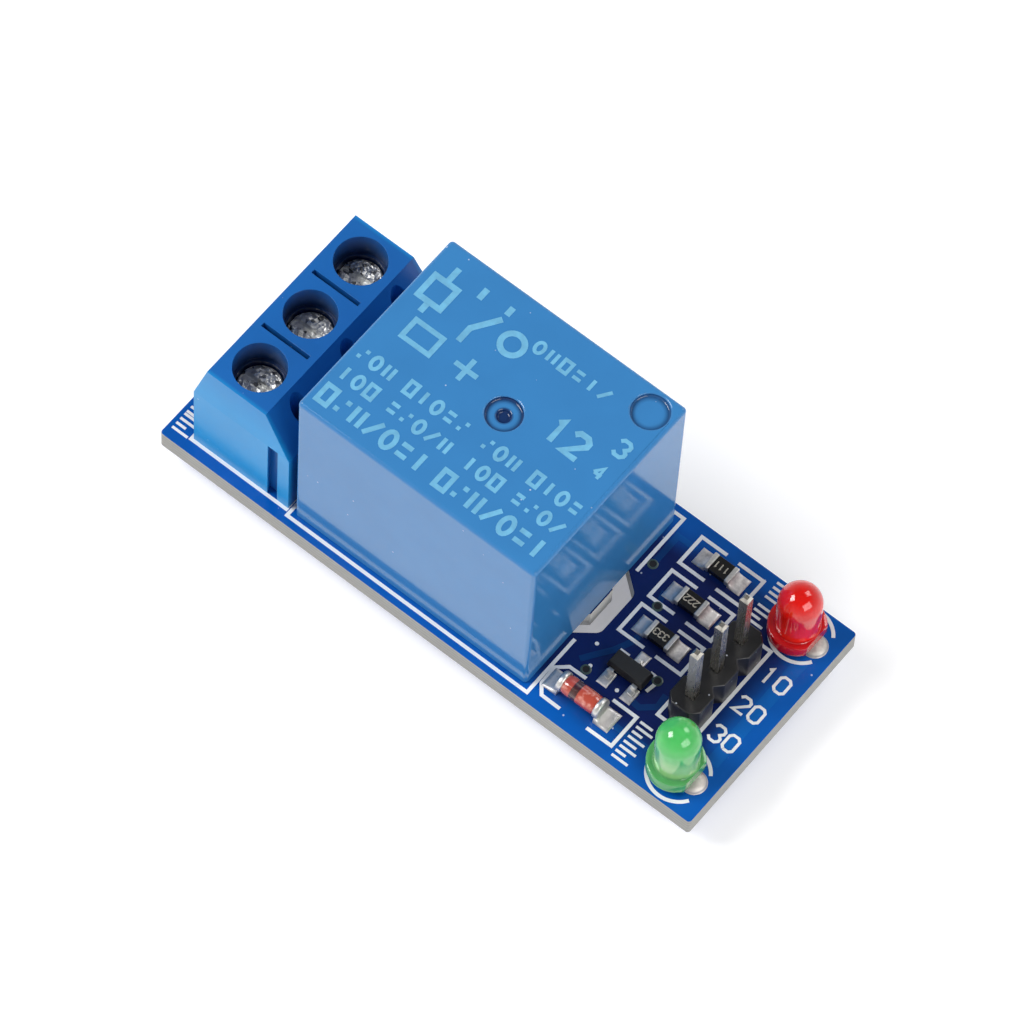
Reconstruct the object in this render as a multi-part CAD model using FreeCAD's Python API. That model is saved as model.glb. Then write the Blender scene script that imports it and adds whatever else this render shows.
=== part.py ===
"""Single-channel relay module board: one solid, or one group of like solids, for each sub-part.

Millimetres. X runs along the board from the screw terminals to the control header, Y across the
board, and Z up. The origin is under the middle of the board, at the cut ends of the soldered
tails, on which the finished board stands.
"""
import FreeCAD
import Part
import math
import os

V = FreeCAD.Vector

# Board and the strip of room that each component takes along it
EDGE_TO_TERMINAL = 2.0        # board end to the wire side of the terminal block
TERMINAL_DEPTH = 7.95         # terminal block, wire side to relay side
TERMINAL_TO_RELAY = 0.6       # air between the terminal block and the relay
RELAY_LENGTH = 19.2
CONTROL_LENGTH = 14.15        # board beyond the relay, with the small components
RELAY_WIDTH = 15.5
BOARD_SIDE_MARGIN = 1.0       # board beside each long wall of the relay
BOARD_THICKNESS = 1.6
BOARD_CORNER_RADIUS = 0.25
TAIL_LENGTH = 2.0             # clipped tails below the board
HOLE_CLEARANCE = 0.08         # plated hole radius over half the pin's diagonal

# Isolation slot round the relay's common pin
SLOT_WIDTH = 1.3
SLOT_FROM_RELAY = 0.07        # relay end to the near wall of the straight run
SLOT_HALF_RUN = 1.46          # half the straight run, on the slot's centre line
SLOT_ARM_X = 1.62
SLOT_ARM_Y = 1.3

# Solder
SOLDER_RING = 0.5             # solder foot beyond the plated hole
SOLDER_HEIGHT = 1.1
SOLDER_NECK = 0.1             # solder left round the pin at the top of the cone
ROUND_SIDES = 12              # flats that draw a plated hole, a solder cone or the silver rivet

# Terminal block
POLE_COUNT = 3
POLE_PITCH = 5.08
TERMINAL_END_WALL = 0.47      # block beyond the last contact pocket
TERMINAL_HEIGHT = 10.0
WIRE_SIDE_SHOULDER = 6.5      # height where the wire side starts to lean in
WIRE_SIDE_LEAN = 0.95
RELAY_SIDE_SHOULDER = 6.3
RELAY_SIDE_LEAN = 2.15
END_FACE_LEAN = 0.2
WELL_FROM_WIRE_SIDE = 3.35    # wire side to the axis of the screw wells
WELL_RADIUS = 1.8             # driver's part of the well, above the screw head
HEAD_CLEARANCE = 0.05         # guide below it, round the screw head
HEAD_GUIDE_OVER = 0.25        # guide's step above the head of a screw at rest
SLIT_WIDTH = 0.32
SLIT_DEPTH = 2.6
SLIT_END_WALL = 0.5           # top face left at each end of a slit
PROBE_RADIUS = 0.65           # half-round probe channels in the relay-side slope
PROBE_FROM_RELAY_SIDE = 1.3
PROBE_FLOOR = 1.6
DOVETAIL_MOUTH = 0.8
DOVETAIL_BOTTOM = 1.2
DOVETAIL_DEPTH = 0.5
DOVETAIL_FROM_RELAY_SIDE = 1.35
DOVETAIL_CLEARANCE = 0.06

# Terminal metal: a brass cage with a solder pin, a screw and the wire guard that it pushes
CAGE_LENGTH = 4.6
CAGE_WALL = 0.5
CAGE_TOP = 0.8
CAGE_FLOOR = 0.6
CAGE_LIFT = 0.5               # cage floor above the board
WINDOW_WIDTH = 3.2
WINDOW_HEIGHT = 3.5
POCKET_CLEARANCE = 0.05
MOUTH_WIDTH = 3.5
MOUTH_FLARE = 0.35
SCREW_RADIUS = 1.25
THREAD_CLEARANCE = 0.05
SCREW_HEAD_RADIUS = 1.55
SCREW_HEAD_HEIGHT = 1.2
SCREW_HEAD_RECESS = 2.3       # screw head below the top of the block, at rest
SCREW_SHANK = 3.6
SCREW_SLOT_WIDTH = 0.5
SCREW_SLOT_DEPTH = 0.45
GUARD_THICKNESS = 0.25
GUARD_SIDE_CLEARANCE = 0.1
GUARD_LENGTH = 3.4
GUARD_TIP_GAP = 0.02
GUARD_RIB = 0.3
TERMINAL_PIN_X = 0.7
TERMINAL_PIN_Y = 0.9

# Relay cover and base
RELAY_HEIGHT = 15.3
COVER_WALL = 0.8
COVER_ROOF = 0.8
COVER_EDGE_RADIUS = 0.3
BASE_LIFT = 0.3
BASE_THICKNESS = 2.0
GATE_DIMPLE_RADIUS = 1.25
GATE_DIMPLE_OFFSET = 0.9      # from the middle of the roof, towards the control end
GATE_HOLE_RADIUS = 0.45
VENT_DIMPLE_RADIUS = 1.3
VENT_DIMPLE_INSET = 1.7       # from the two nearest walls
DIMPLE_DEPTH = 0.3

# Relay works
COMMON_PIN_INSET = 1.95       # from the control end of the cover
CONTACT_PIN_INSET = 3.05      # from the terminal end of the cover
PIN_ROW_INSET = 1.75          # coil and contact pins from the long walls
COIL_PIN_FROM_COMMON = 2.0
CONTACT_PIN_WIDTH = 1.0
CONTACT_PIN_THICKNESS = 0.5
COIL_PIN_SIDE = 0.6
YOKE_THICKNESS = 1.2
YOKE_WIDTH = 8.0
FOOT_LENGTH = 9.2
CORE_FROM_YOKE = 4.6          # coil axis to the inner face of the yoke
CORE_RADIUS = 1.8
POLE_RADIUS = 3.2
POLE_THICKNESS = 0.6
POLE_GAP = 0.4
BOBBIN_CLEARANCE = 0.05
BOBBIN_HUB_WALL = 0.5
BOBBIN_FLANGE = 0.8
BOBBIN_HALF_WIDTH = 5.2
BOBBIN_YOKE_GAP = 0.1
BOBBIN_LUG = 1.3
WINDING_RADIUS = 4.5
ARMATURE_THICKNESS = 1.0
ARMATURE_CLEARANCE = 0.03
ARMATURE_OVER_POLE = 0.6      # armature beyond the pole's far edge
LEAF_THICKNESS = 0.2
LEAF_WIDTH = 5.0
LEAF_TONGUE_WIDTH = 3.2
LEAF_TO_YOKE = 0.03
LEAF_DROP = 5.6               # leg of the leaf down the back of the yoke
CONTACT_RADIUS = 1.2
CONTACT_BUTTON = 0.4
CONTACT_GAP = 0.62
CLOSED_CONTACT_GAP = 0.02
FIXED_BUTTON = 0.3
FIXED_STRIP = 0.4
FIXED_STRIP_WIDTH = 2.4
CONTACT_HEADROOM = 0.55       # air between the upper fixed contact and the roof
COMMON_PLATE_WIDTH = 4.0
COMMON_PLATE_HEIGHT = 3.4

# Control header
HEADER_PINS = 3
HEADER_PITCH = 2.54
HEADER_FROM_EDGE = 4.87
HEADER_HEIGHT = 2.54
HEADER_WIDTH = 2.5
HEADER_CHAMFER = 0.55
HEADER_PIN_SIDE = 0.64
HEADER_PIN_ABOVE = 6.0
HEADER_PIN_BELOW = 3.06       # below the board's top face
HEADER_PIN_POINT = 0.25

# Light-emitting diodes
LED_FROM_EDGE = 3.1
LED_FROM_SIDE = 2.45
LED_RADIUS = 1.5
LED_HEIGHT = 5.3
LED_FLANGE_RADIUS = 1.95
LED_FLANGE_HEIGHT = 1.0
LED_FLAT = 1.6                # flange flat from the axis, on the cathode side
LED_LIFT = 0.4
LED_LEAD_PITCH = 2.54
LED_LEAD_SIDE = 0.5
LED_FRAME_HEIGHT = 3.4        # top of the lead frame inside the lens
LED_BLOB_HEIGHT = 0.34

# Surface-mounted parts
CHIP_FROM_RELAY = 4.65        # relay end to the middle of the small parts
RESISTOR_FROM_SIDE = 2.1
RESISTOR_PITCH = 3.15
RESISTOR_COUNT = 3
RESISTOR_LENGTH = 2.0
RESISTOR_WIDTH = 1.25
RESISTOR_HEIGHT = 0.55
RESISTOR_END = 0.35
RESISTOR_END_PROUD = 0.03
PAD_THICKNESS = 0.08
PAD_BEYOND = 0.95
PAD_UNDER = 0.3
SMD_SOLDER_RISE = 0.36
TRANSISTOR_FROM_RESISTOR = 3.25
TRANSISTOR_LENGTH = 2.9
TRANSISTOR_WIDTH = 1.3
TRANSISTOR_HEIGHT = 1.0
TRANSISTOR_LIFT = 0.1
TRANSISTOR_DRAFT = 0.12
TRANSISTOR_SPAN = 2.5
TRANSISTOR_LEAD_WIDTH = 0.42
TRANSISTOR_LEAD_THICKNESS = 0.13
TRANSISTOR_LEAD_PITCH = 1.9
DIODE_FROM_TRANSISTOR = 3.45
DIODE_FROM_CHIPS = -1.2       # diode middle from the middle of the other small parts
DIODE_LENGTH = 3.5
DIODE_CAP_LENGTH = 0.45
DIODE_CAP_RADIUS = 0.75
DIODE_GLASS_RADIUS = 0.7

# Places that follow from the driving sizes
BOARD_LENGTH = EDGE_TO_TERMINAL + TERMINAL_DEPTH + TERMINAL_TO_RELAY + RELAY_LENGTH + CONTROL_LENGTH
BOARD_WIDTH = RELAY_WIDTH + 2 * BOARD_SIDE_MARGIN
BOARD_X0 = -BOARD_LENGTH / 2
BOARD_X1 = BOARD_LENGTH / 2
BOARD_BOTTOM = TAIL_LENGTH
BOARD_TOP = BOARD_BOTTOM + BOARD_THICKNESS

TERMINAL_X0 = BOARD_X0 + EDGE_TO_TERMINAL
TERMINAL_X1 = TERMINAL_X0 + TERMINAL_DEPTH
WELL_X = TERMINAL_X0 + WELL_FROM_WIRE_SIDE
CAGE_WIDTH = WINDOW_WIDTH + 2 * CAGE_WALL
CAGE_Z0 = BOARD_TOP + CAGE_LIFT
WINDOW_Z0 = CAGE_Z0 + CAGE_FLOOR
WINDOW_Z1 = WINDOW_Z0 + WINDOW_HEIGHT
CAGE_Z1 = WINDOW_Z1 + CAGE_TOP
TERMINAL_TOP = BOARD_TOP + TERMINAL_HEIGHT
SCREW_TOP = TERMINAL_TOP - SCREW_HEAD_RECESS
SCREW_NECK = SCREW_TOP - SCREW_HEAD_HEIGHT
SCREW_TIP = SCREW_NECK - SCREW_SHANK
TERMINAL_HALF = (POLE_COUNT - 1) / 2 * POLE_PITCH + CAGE_WIDTH / 2 + POCKET_CLEARANCE + TERMINAL_END_WALL
POLE_YS = [(i - (POLE_COUNT - 1) / 2) * POLE_PITCH for i in range(POLE_COUNT)]

RELAY_X0 = TERMINAL_X1 + TERMINAL_TO_RELAY
RELAY_X1 = RELAY_X0 + RELAY_LENGTH
RELAY_XC = (RELAY_X0 + RELAY_X1) / 2
BASE_Z1 = BOARD_TOP + BASE_LIFT + BASE_THICKNESS
COMMON_X = RELAY_X1 - COMMON_PIN_INSET
COIL_PIN_X = COMMON_X - COIL_PIN_FROM_COMMON
CONTACT_X = RELAY_X0 + CONTACT_PIN_INSET
PIN_ROW_HALF = RELAY_WIDTH / 2 - PIN_ROW_INSET
YOKE_OUTER_X = COMMON_X - CONTACT_PIN_THICKNESS / 2
YOKE_INNER_X = YOKE_OUTER_X - YOKE_THICKNESS
COIL_X = YOKE_INNER_X - CORE_FROM_YOKE
UPPER_STRIP_Z1 = BOARD_TOP + RELAY_HEIGHT - COVER_ROOF - CONTACT_HEADROOM
UPPER_BUTTON_Z0 = UPPER_STRIP_Z1 - FIXED_STRIP - FIXED_BUTTON
LEAF_Z1 = UPPER_BUTTON_Z0 - CLOSED_CONTACT_GAP - CONTACT_BUTTON
ARMATURE_Z1 = LEAF_Z1 - LEAF_THICKNESS
ARMATURE_Z0 = ARMATURE_Z1 - ARMATURE_THICKNESS
YOKE_TOP = ARMATURE_Z0 - ARMATURE_CLEARANCE
FOOT_TOP = BASE_Z1 + YOKE_THICKNESS
POLE_TOP = YOKE_TOP - POLE_GAP
BOBBIN_TOP = POLE_TOP - POLE_THICKNESS
LEAF_BACK_X = YOKE_OUTER_X + LEAF_TO_YOKE

HEADER_X = BOARD_X1 - HEADER_FROM_EDGE
HEADER_YS = [(i - (HEADER_PINS - 1) / 2) * HEADER_PITCH for i in range(HEADER_PINS)]
LED_X = BOARD_X1 - LED_FROM_EDGE
LED_Y = BOARD_WIDTH / 2 - LED_FROM_SIDE
LED_Z0 = BOARD_TOP + LED_LIFT

CHIP_X = RELAY_X1 + CHIP_FROM_RELAY
RESISTOR_YS = [BOARD_WIDTH / 2 - RESISTOR_FROM_SIDE - i * RESISTOR_PITCH for i in range(RESISTOR_COUNT)]
TRANSISTOR_Y = RESISTOR_YS[-1] - TRANSISTOR_FROM_RESISTOR
DIODE_X = CHIP_X + DIODE_FROM_CHIPS
DIODE_Y = TRANSISTOR_Y - DIODE_FROM_TRANSISTOR
CHIP_Z0 = BOARD_TOP + PAD_THICKNESS


# Small helpers

def box(x0, x1, y0, y1, z0, z1):
    """A box from its low and high corners."""
    return Part.makeBox(x1 - x0, y1 - y0, z1 - z0, V(x0, y0, z0))


def post(x, y, side_x, side_y, z0, z1):
    """A square or flat pin centred on x, y."""
    return box(x - side_x / 2, x + side_x / 2, y - side_y / 2, y + side_y / 2, z0, z1)


def rod(x, y, radius, z0, z1):
    """An upright cylinder."""
    return Part.makeCylinder(radius, z1 - z0, V(x, y, z0))


def small_cone(x, y, r0, r1, z0, z1):
    """An upright many-sided cone frustum, from radius r0 at z0 to r1 at z1."""
    turns = [2 * math.pi * i / ROUND_SIDES for i in range(ROUND_SIDES + 1)]
    low = [V(x + r0 * math.cos(t), y + r0 * math.sin(t), z0) for t in turns]
    high = [V(x + r1 * math.cos(t), y + r1 * math.sin(t), z1) for t in turns]
    outlines = [[low[i], low[i + 1], high[i + 1], high[i], low[i]] for i in range(ROUND_SIDES)]
    faces = [Part.Face(Part.makePolygon(outline)) for outline in outlines + [low, high]]
    return Part.Solid(Part.Shell(faces))


def small_rod(x, y, radius, z0, z1):
    """An upright many-sided rod."""
    return small_cone(x, y, radius, radius, z0, z1)


def prism_x(points, x0, x1):
    """A polygon of (y, z) points carried from x0 to x1."""
    loop = [V(x0, y, z) for y, z in points]
    return Part.Face(Part.makePolygon(loop + loop[:1])).extrude(V(x1 - x0, 0, 0))


def prism_y(points, y0, y1):
    """A polygon of (x, z) points carried from y0 to y1."""
    loop = [V(x, y0, z) for x, z in points]
    return Part.Face(Part.makePolygon(loop + loop[:1])).extrude(V(0, y1 - y0, 0))


def prism_z(points, z0, z1):
    """A polygon of (x, y) points carried from z0 to z1."""
    loop = [V(x, y, z0) for x, y in points]
    return Part.Face(Part.makePolygon(loop + loop[:1])).extrude(V(0, 0, z1 - z0))


def turned(points, x, y):
    """A closed profile of (radius, z) points turned round the upright axis at x, y."""
    loop = [V(x + r, y, z) for r, z in points]
    face = Part.Face(Part.makePolygon(loop + loop[:1]))
    return face.revolve(V(x, y, 0), V(0, 0, 1), 360)


def mirrored_y(shape):
    """The same shape on the other side of the board's middle line."""
    return shape.mirror(V(0, 0, 0), V(0, 1, 0))


def edges_along_z(shape):
    """The straight upright edges of a shape."""
    return [e for e in shape.Edges
            if isinstance(e.Curve, Part.Line) and abs(e.tangentAt(e.FirstParameter).z) > 0.999]


def hole_radius(side_x, side_y):
    """Plated hole for a pin of this section."""
    return math.hypot(side_x, side_y) / 2 + HOLE_CLEARANCE


# Pins that pass through the board: (x, y, side along x, side along y) for each

def relay_pins():
    """Common, two coil and two fixed-contact pins."""
    pins = [(COMMON_X, 0, CONTACT_PIN_THICKNESS, CONTACT_PIN_WIDTH)]
    for side in (-1, 1):
        pins.append((COIL_PIN_X, side * PIN_ROW_HALF, COIL_PIN_SIDE, COIL_PIN_SIDE))
        pins.append((CONTACT_X, side * PIN_ROW_HALF, CONTACT_PIN_WIDTH, CONTACT_PIN_THICKNESS))
    return pins


def terminal_pins():
    """One solder pin under each screw."""
    return [(WELL_X, y, TERMINAL_PIN_X, TERMINAL_PIN_Y) for y in POLE_YS]


def header_pins():
    """The square pins of the control header."""
    return [(HEADER_X, y, HEADER_PIN_SIDE, HEADER_PIN_SIDE) for y in HEADER_YS]


def led_pins():
    """Two leads for each light."""
    return [(LED_X + end * LED_LEAD_PITCH / 2, side * LED_Y, LED_LEAD_SIDE, LED_LEAD_SIDE)
            for side in (-1, 1) for end in (-1, 1)]


# Board

def slot_run(a, b):
    """One straight run of the milled slot, with the cutter's round ends."""
    low = BOARD_BOTTOM - 1
    high = BOARD_TOP + 1
    r = SLOT_WIDTH / 2
    dx = b[0] - a[0]
    dy = b[1] - a[1]
    length = math.hypot(dx, dy)
    nx = -dy / length * r
    ny = dx / length * r
    run = prism_z([(a[0] + nx, a[1] + ny), (b[0] + nx, b[1] + ny),
                   (b[0] - nx, b[1] - ny), (a[0] - nx, a[1] - ny)], low, high)
    return run.fuse([rod(a[0], a[1], r, low, high), rod(b[0], b[1], r, low, high)])


def isolation_slot():
    """The slot bends round the common pin, under the relay's end and just beyond it."""
    x = RELAY_X1 + SLOT_FROM_RELAY + SLOT_WIDTH / 2
    y = SLOT_HALF_RUN
    path = [(x - SLOT_ARM_X, -y - SLOT_ARM_Y), (x, -y), (x, y), (x - SLOT_ARM_X, y + SLOT_ARM_Y)]
    runs = [slot_run(path[i], path[i + 1]) for i in range(len(path) - 1)]
    return runs[0].fuse(runs[1:])


def circuit_board():
    """Glass-epoxy board with its slot and plated pin holes."""
    plate = box(BOARD_X0, BOARD_X1, -BOARD_WIDTH / 2, BOARD_WIDTH / 2, BOARD_BOTTOM, BOARD_TOP)
    plate = plate.makeFillet(BOARD_CORNER_RADIUS, edges_along_z(plate))
    cuts = [isolation_slot()]
    for x, y, a, b in relay_pins() + terminal_pins() + header_pins() + led_pins():
        cuts.append(small_rod(x, y, hole_radius(a, b), BOARD_BOTTOM - 1, BOARD_TOP + 1))
    return plate.cut(cuts)


def joint(x, y, a, b):
    """Solder round one pin: it fills the plated hole and rises up the tail in a cone."""
    hole = hole_radius(a, b)
    fill = small_rod(x, y, hole, BOARD_BOTTOM, BOARD_TOP)
    foot = small_cone(x, y, math.hypot(a, b) / 2 + SOLDER_NECK, hole + SOLDER_RING,
                      BOARD_BOTTOM - SOLDER_HEIGHT, BOARD_BOTTOM)
    pin = post(x, y, a, b, BOARD_BOTTOM - SOLDER_HEIGHT - 1, BOARD_TOP + 1)
    return fill.fuse(foot).cut(pin)


def solder_joints(pins):
    """The solder under one component."""
    return Part.makeCompound([joint(*pin) for pin in pins])


def led_blob(x, y, a, b):
    """The low mound of solder on top of the board round a light's outer lead."""
    hole = hole_radius(a, b)
    mound = small_cone(x, y, hole + SOLDER_RING, hole, BOARD_TOP, BOARD_TOP + LED_BLOB_HEIGHT)
    return mound.cut(post(x, y, a, b, BOARD_TOP - 1, BOARD_TOP + LED_BLOB_HEIGHT + 1))


def led_solder():
    """Solder of both lights: four joints, and a mound on top at each outer lead."""
    solids = []
    for x, y, a, b in led_pins():
        solid = joint(x, y, a, b)
        if x > LED_X:
            solid = solid.fuse(led_blob(x, y, a, b)).removeSplitter()
        solids.append(solid)
    return Part.makeCompound(solids)


# Terminal block

def terminal_profile():
    """End view of the block: upright walls that lean in to the narrow top."""
    return [(TERMINAL_X0, BOARD_TOP), (TERMINAL_X1, BOARD_TOP),
            (TERMINAL_X1, BOARD_TOP + RELAY_SIDE_SHOULDER),
            (TERMINAL_X1 - RELAY_SIDE_LEAN, TERMINAL_TOP),
            (TERMINAL_X0 + WIRE_SIDE_LEAN, TERMINAL_TOP),
            (TERMINAL_X0, BOARD_TOP + WIRE_SIDE_SHOULDER)]


def end_lean():
    """The wedge taken off the upper half of one end face."""
    y = -TERMINAL_HALF
    return prism_x([(y - 1, BOARD_TOP + WIRE_SIDE_SHOULDER), (y, BOARD_TOP + WIRE_SIDE_SHOULDER),
                    (y + END_FACE_LEAN, TERMINAL_TOP), (y + END_FACE_LEAN, TERMINAL_TOP + 1),
                    (y - 1, TERMINAL_TOP + 1)], TERMINAL_X0 - 1, TERMINAL_X1 + 1)


def dovetail(y, mouth, bottom, depth, z1):
    """An upright dovetail bar that widens from the plane at y towards y + depth."""
    x = TERMINAL_X1 - DOVETAIL_FROM_RELAY_SIDE
    return prism_z([(x - mouth / 2, y), (x + mouth / 2, y),
                    (x + bottom / 2, y + depth), (x - bottom / 2, y + depth)], BOARD_TOP, z1)


def pole_cuts(y):
    """Stepped well, contact pocket, wire mouth and probe channel of one pole."""
    half = CAGE_WIDTH / 2 + POCKET_CLEARANCE
    reach = CAGE_LENGTH / 2 + POCKET_CLEARANCE
    step = SCREW_TOP + HEAD_GUIDE_OVER
    well = rod(WELL_X, y, WELL_RADIUS, step, TERMINAL_TOP + 1)
    guide = rod(WELL_X, y, SCREW_HEAD_RADIUS + HEAD_CLEARANCE, CAGE_Z1 - 0.5, step)
    pocket = box(WELL_X - reach, WELL_X + reach, y - half, y + half, BOARD_TOP - 1, CAGE_Z1)
    mouth = box(TERMINAL_X0 - 1, WELL_X, y - MOUTH_WIDTH / 2, y + MOUTH_WIDTH / 2, WINDOW_Z0, WINDOW_Z1)
    wide = MOUTH_WIDTH / 2 + MOUTH_FLARE
    narrow = MOUTH_WIDTH / 2
    flare = prism_z([(TERMINAL_X0, y - wide), (TERMINAL_X0, y + wide),
                     (TERMINAL_X0 + MOUTH_FLARE, y + narrow), (TERMINAL_X0 + MOUTH_FLARE, y - narrow)],
                    WINDOW_Z0, WINDOW_Z1)
    probe = rod(TERMINAL_X1 - PROBE_FROM_RELAY_SIDE, y, PROBE_RADIUS, BOARD_TOP + PROBE_FLOOR,
                TERMINAL_TOP + 1)
    return [well, guide, pocket, mouth, flare, probe]


def terminal_housing():
    """Moulded three-pole block, dovetailed at its ends so that blocks can be ranked."""
    body = prism_y(terminal_profile(), -TERMINAL_HALF, TERMINAL_HALF)
    tongue = dovetail(TERMINAL_HALF, DOVETAIL_MOUTH - 2 * DOVETAIL_CLEARANCE,
                      DOVETAIL_BOTTOM - 2 * DOVETAIL_CLEARANCE, DOVETAIL_DEPTH - DOVETAIL_CLEARANCE,
                      BOARD_TOP + RELAY_SIDE_SHOULDER)
    cuts = [end_lean(), mirrored_y(end_lean()),
            dovetail(-TERMINAL_HALF, DOVETAIL_MOUTH, DOVETAIL_BOTTOM, DOVETAIL_DEPTH,
                     BOARD_TOP + WIRE_SIDE_SHOULDER)]
    for y in POLE_YS:
        cuts += pole_cuts(y)
    for low, high in zip(POLE_YS, POLE_YS[1:]):
        y = (low + high) / 2
        cuts.append(box(TERMINAL_X0 + WIRE_SIDE_LEAN + SLIT_END_WALL,
                        TERMINAL_X1 - RELAY_SIDE_LEAN - SLIT_END_WALL,
                        y - SLIT_WIDTH / 2, y + SLIT_WIDTH / 2, TERMINAL_TOP - SLIT_DEPTH, TERMINAL_TOP + 1))
    return body.fuse(tongue).cut(cuts)


def terminal_contact(y):
    """Folded brass cage with a tapped roof, a clamping window and a solder pin."""
    cage = box(WELL_X - CAGE_LENGTH / 2, WELL_X + CAGE_LENGTH / 2, y - CAGE_WIDTH / 2, y + CAGE_WIDTH / 2,
               CAGE_Z0, CAGE_Z1)
    window = box(WELL_X - CAGE_LENGTH, WELL_X + CAGE_LENGTH, y - WINDOW_WIDTH / 2, y + WINDOW_WIDTH / 2,
                 WINDOW_Z0, WINDOW_Z1)
    thread = rod(WELL_X, y, SCREW_RADIUS + THREAD_CLEARANCE, WINDOW_Z1 - 0.5, CAGE_Z1 + 1)
    tail = post(WELL_X, y, TERMINAL_PIN_X, TERMINAL_PIN_Y, 0, CAGE_Z0 + CAGE_FLOOR / 2)
    return cage.fuse(tail).cut([window, thread]).removeSplitter()


def terminal_screw(y):
    """Clamping screw with a low slotted head."""
    edge = SCREW_HEAD_HEIGHT / 4
    tip = SCREW_RADIUS / 4
    body = turned([(0, SCREW_TIP), (SCREW_RADIUS - tip, SCREW_TIP), (SCREW_RADIUS, SCREW_TIP + tip),
                   (SCREW_RADIUS, SCREW_NECK), (SCREW_HEAD_RADIUS, SCREW_NECK),
                   (SCREW_HEAD_RADIUS, SCREW_TOP - edge), (SCREW_HEAD_RADIUS - edge, SCREW_TOP),
                   (0, SCREW_TOP)], WELL_X, y)
    low = SCREW_TOP - SCREW_SLOT_DEPTH
    return body.cut(post(WELL_X, y, 3 * SCREW_HEAD_RADIUS, SCREW_SLOT_WIDTH, low, SCREW_TOP + 1))


def wire_guard(y):
    """Steel shoe that the screw's tip pushes down on the wire, with a cross rib that bites."""
    z1 = SCREW_TIP - GUARD_TIP_GAP
    z0 = z1 - GUARD_THICKNESS
    half = WINDOW_WIDTH / 2 - GUARD_SIDE_CLEARANCE
    x0 = WELL_X - GUARD_LENGTH / 2
    x1 = WELL_X + GUARD_LENGTH / 2
    profile = [(x0, z1), (x0, z0), (WELL_X - GUARD_RIB, z0), (WELL_X - GUARD_RIB / 2, z0 - GUARD_RIB),
               (WELL_X + GUARD_RIB / 2, z0 - GUARD_RIB), (WELL_X + GUARD_RIB, z0), (x1, z0), (x1, z1)]
    return prism_y(profile, y - half, y + half)


# Relay

def relay_cover():
    """Deep moulded cap with a gate dimple in its roof and a vent mark in one corner."""
    half = RELAY_WIDTH / 2
    top = BOARD_TOP + RELAY_HEIGHT
    cap = box(RELAY_X0, RELAY_X1, -half, half, BOARD_TOP, top)
    upper = [e for e in cap.Edges if e.BoundBox.ZMax > top - 0.001]
    cap = cap.makeFillet(COVER_EDGE_RADIUS, upper)
    room = box(RELAY_X0 + COVER_WALL, RELAY_X1 - COVER_WALL, -half + COVER_WALL, half - COVER_WALL,
               BOARD_TOP - 1, top - COVER_ROOF)
    gate_x = RELAY_XC + GATE_DIMPLE_OFFSET
    gate = rod(gate_x, 0, GATE_DIMPLE_RADIUS, top - DIMPLE_DEPTH, top + 1)
    hole = rod(gate_x, 0, GATE_HOLE_RADIUS, top - 1.8 * DIMPLE_DEPTH, top)
    vent = rod(RELAY_X1 - VENT_DIMPLE_INSET, half - VENT_DIMPLE_INSET, VENT_DIMPLE_RADIUS,
               top - DIMPLE_DEPTH, top + 1)
    return cap.cut([room, gate, hole, vent])


def relay_base():
    """Plate that closes the cover and holds the five pins."""
    half = RELAY_WIDTH / 2 - COVER_WALL
    plate = box(RELAY_X0 + COVER_WALL, RELAY_X1 - COVER_WALL, -half, half, BOARD_TOP + BASE_LIFT, BASE_Z1)
    pins = [post(x, y, a, b, 0, BASE_Z1 + 1) for x, y, a, b in relay_pins()]
    return plate.cut(pins)


def yoke():
    """L-shaped iron that carries the flux from the core's foot to the armature's hinge edge."""
    half = YOKE_WIDTH / 2
    body = prism_y([(YOKE_OUTER_X - FOOT_LENGTH, BASE_Z1), (YOKE_OUTER_X, BASE_Z1), (YOKE_OUTER_X, YOKE_TOP),
                    (YOKE_INNER_X, YOKE_TOP), (YOKE_INNER_X, FOOT_TOP),
                    (YOKE_OUTER_X - FOOT_LENGTH, FOOT_TOP)], -half, half)
    return body.cut(rod(COIL_X, 0, CORE_RADIUS, BASE_Z1 - 1, FOOT_TOP + 1))


def iron_core():
    """Core riveted in the yoke's foot, with a wide pole face under the armature."""
    return rod(COIL_X, 0, CORE_RADIUS, BASE_Z1, POLE_TOP).fuse(
        rod(COIL_X, 0, POLE_RADIUS, BOBBIN_TOP, POLE_TOP)).removeSplitter()


def coil_bobbin():
    """Spool that insulates the winding and holds the two coil pins in its lower flange."""
    x0 = COIL_X - BOBBIN_HALF_WIDTH
    x1 = YOKE_INNER_X - BOBBIN_YOKE_GAP
    low = box(x0, x1, -BOBBIN_HALF_WIDTH, BOBBIN_HALF_WIDTH, FOOT_TOP, FOOT_TOP + BOBBIN_FLANGE)
    high = box(x0, x1, -BOBBIN_HALF_WIDTH, BOBBIN_HALF_WIDTH, BOBBIN_TOP - BOBBIN_FLANGE, BOBBIN_TOP)
    hub = rod(COIL_X, 0, CORE_RADIUS + BOBBIN_CLEARANCE + BOBBIN_HUB_WALL, FOOT_TOP, BOBBIN_TOP)
    lugs = box(COIL_PIN_X - BOBBIN_LUG / 2, COIL_PIN_X + BOBBIN_LUG / 2, -PIN_ROW_HALF - BOBBIN_LUG / 2,
               PIN_ROW_HALF + BOBBIN_LUG / 2, FOOT_TOP, FOOT_TOP + BOBBIN_FLANGE)
    lugs = lugs.common(box(x0, x1, -RELAY_WIDTH, RELAY_WIDTH, FOOT_TOP, FOOT_TOP + BOBBIN_FLANGE))
    bore = rod(COIL_X, 0, CORE_RADIUS + BOBBIN_CLEARANCE, FOOT_TOP - 1, BOBBIN_TOP + 1)
    pins = [coil_pin(side) for side in (-1, 1)]
    return low.fuse([high, hub, lugs]).cut([bore] + pins).removeSplitter()


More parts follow.
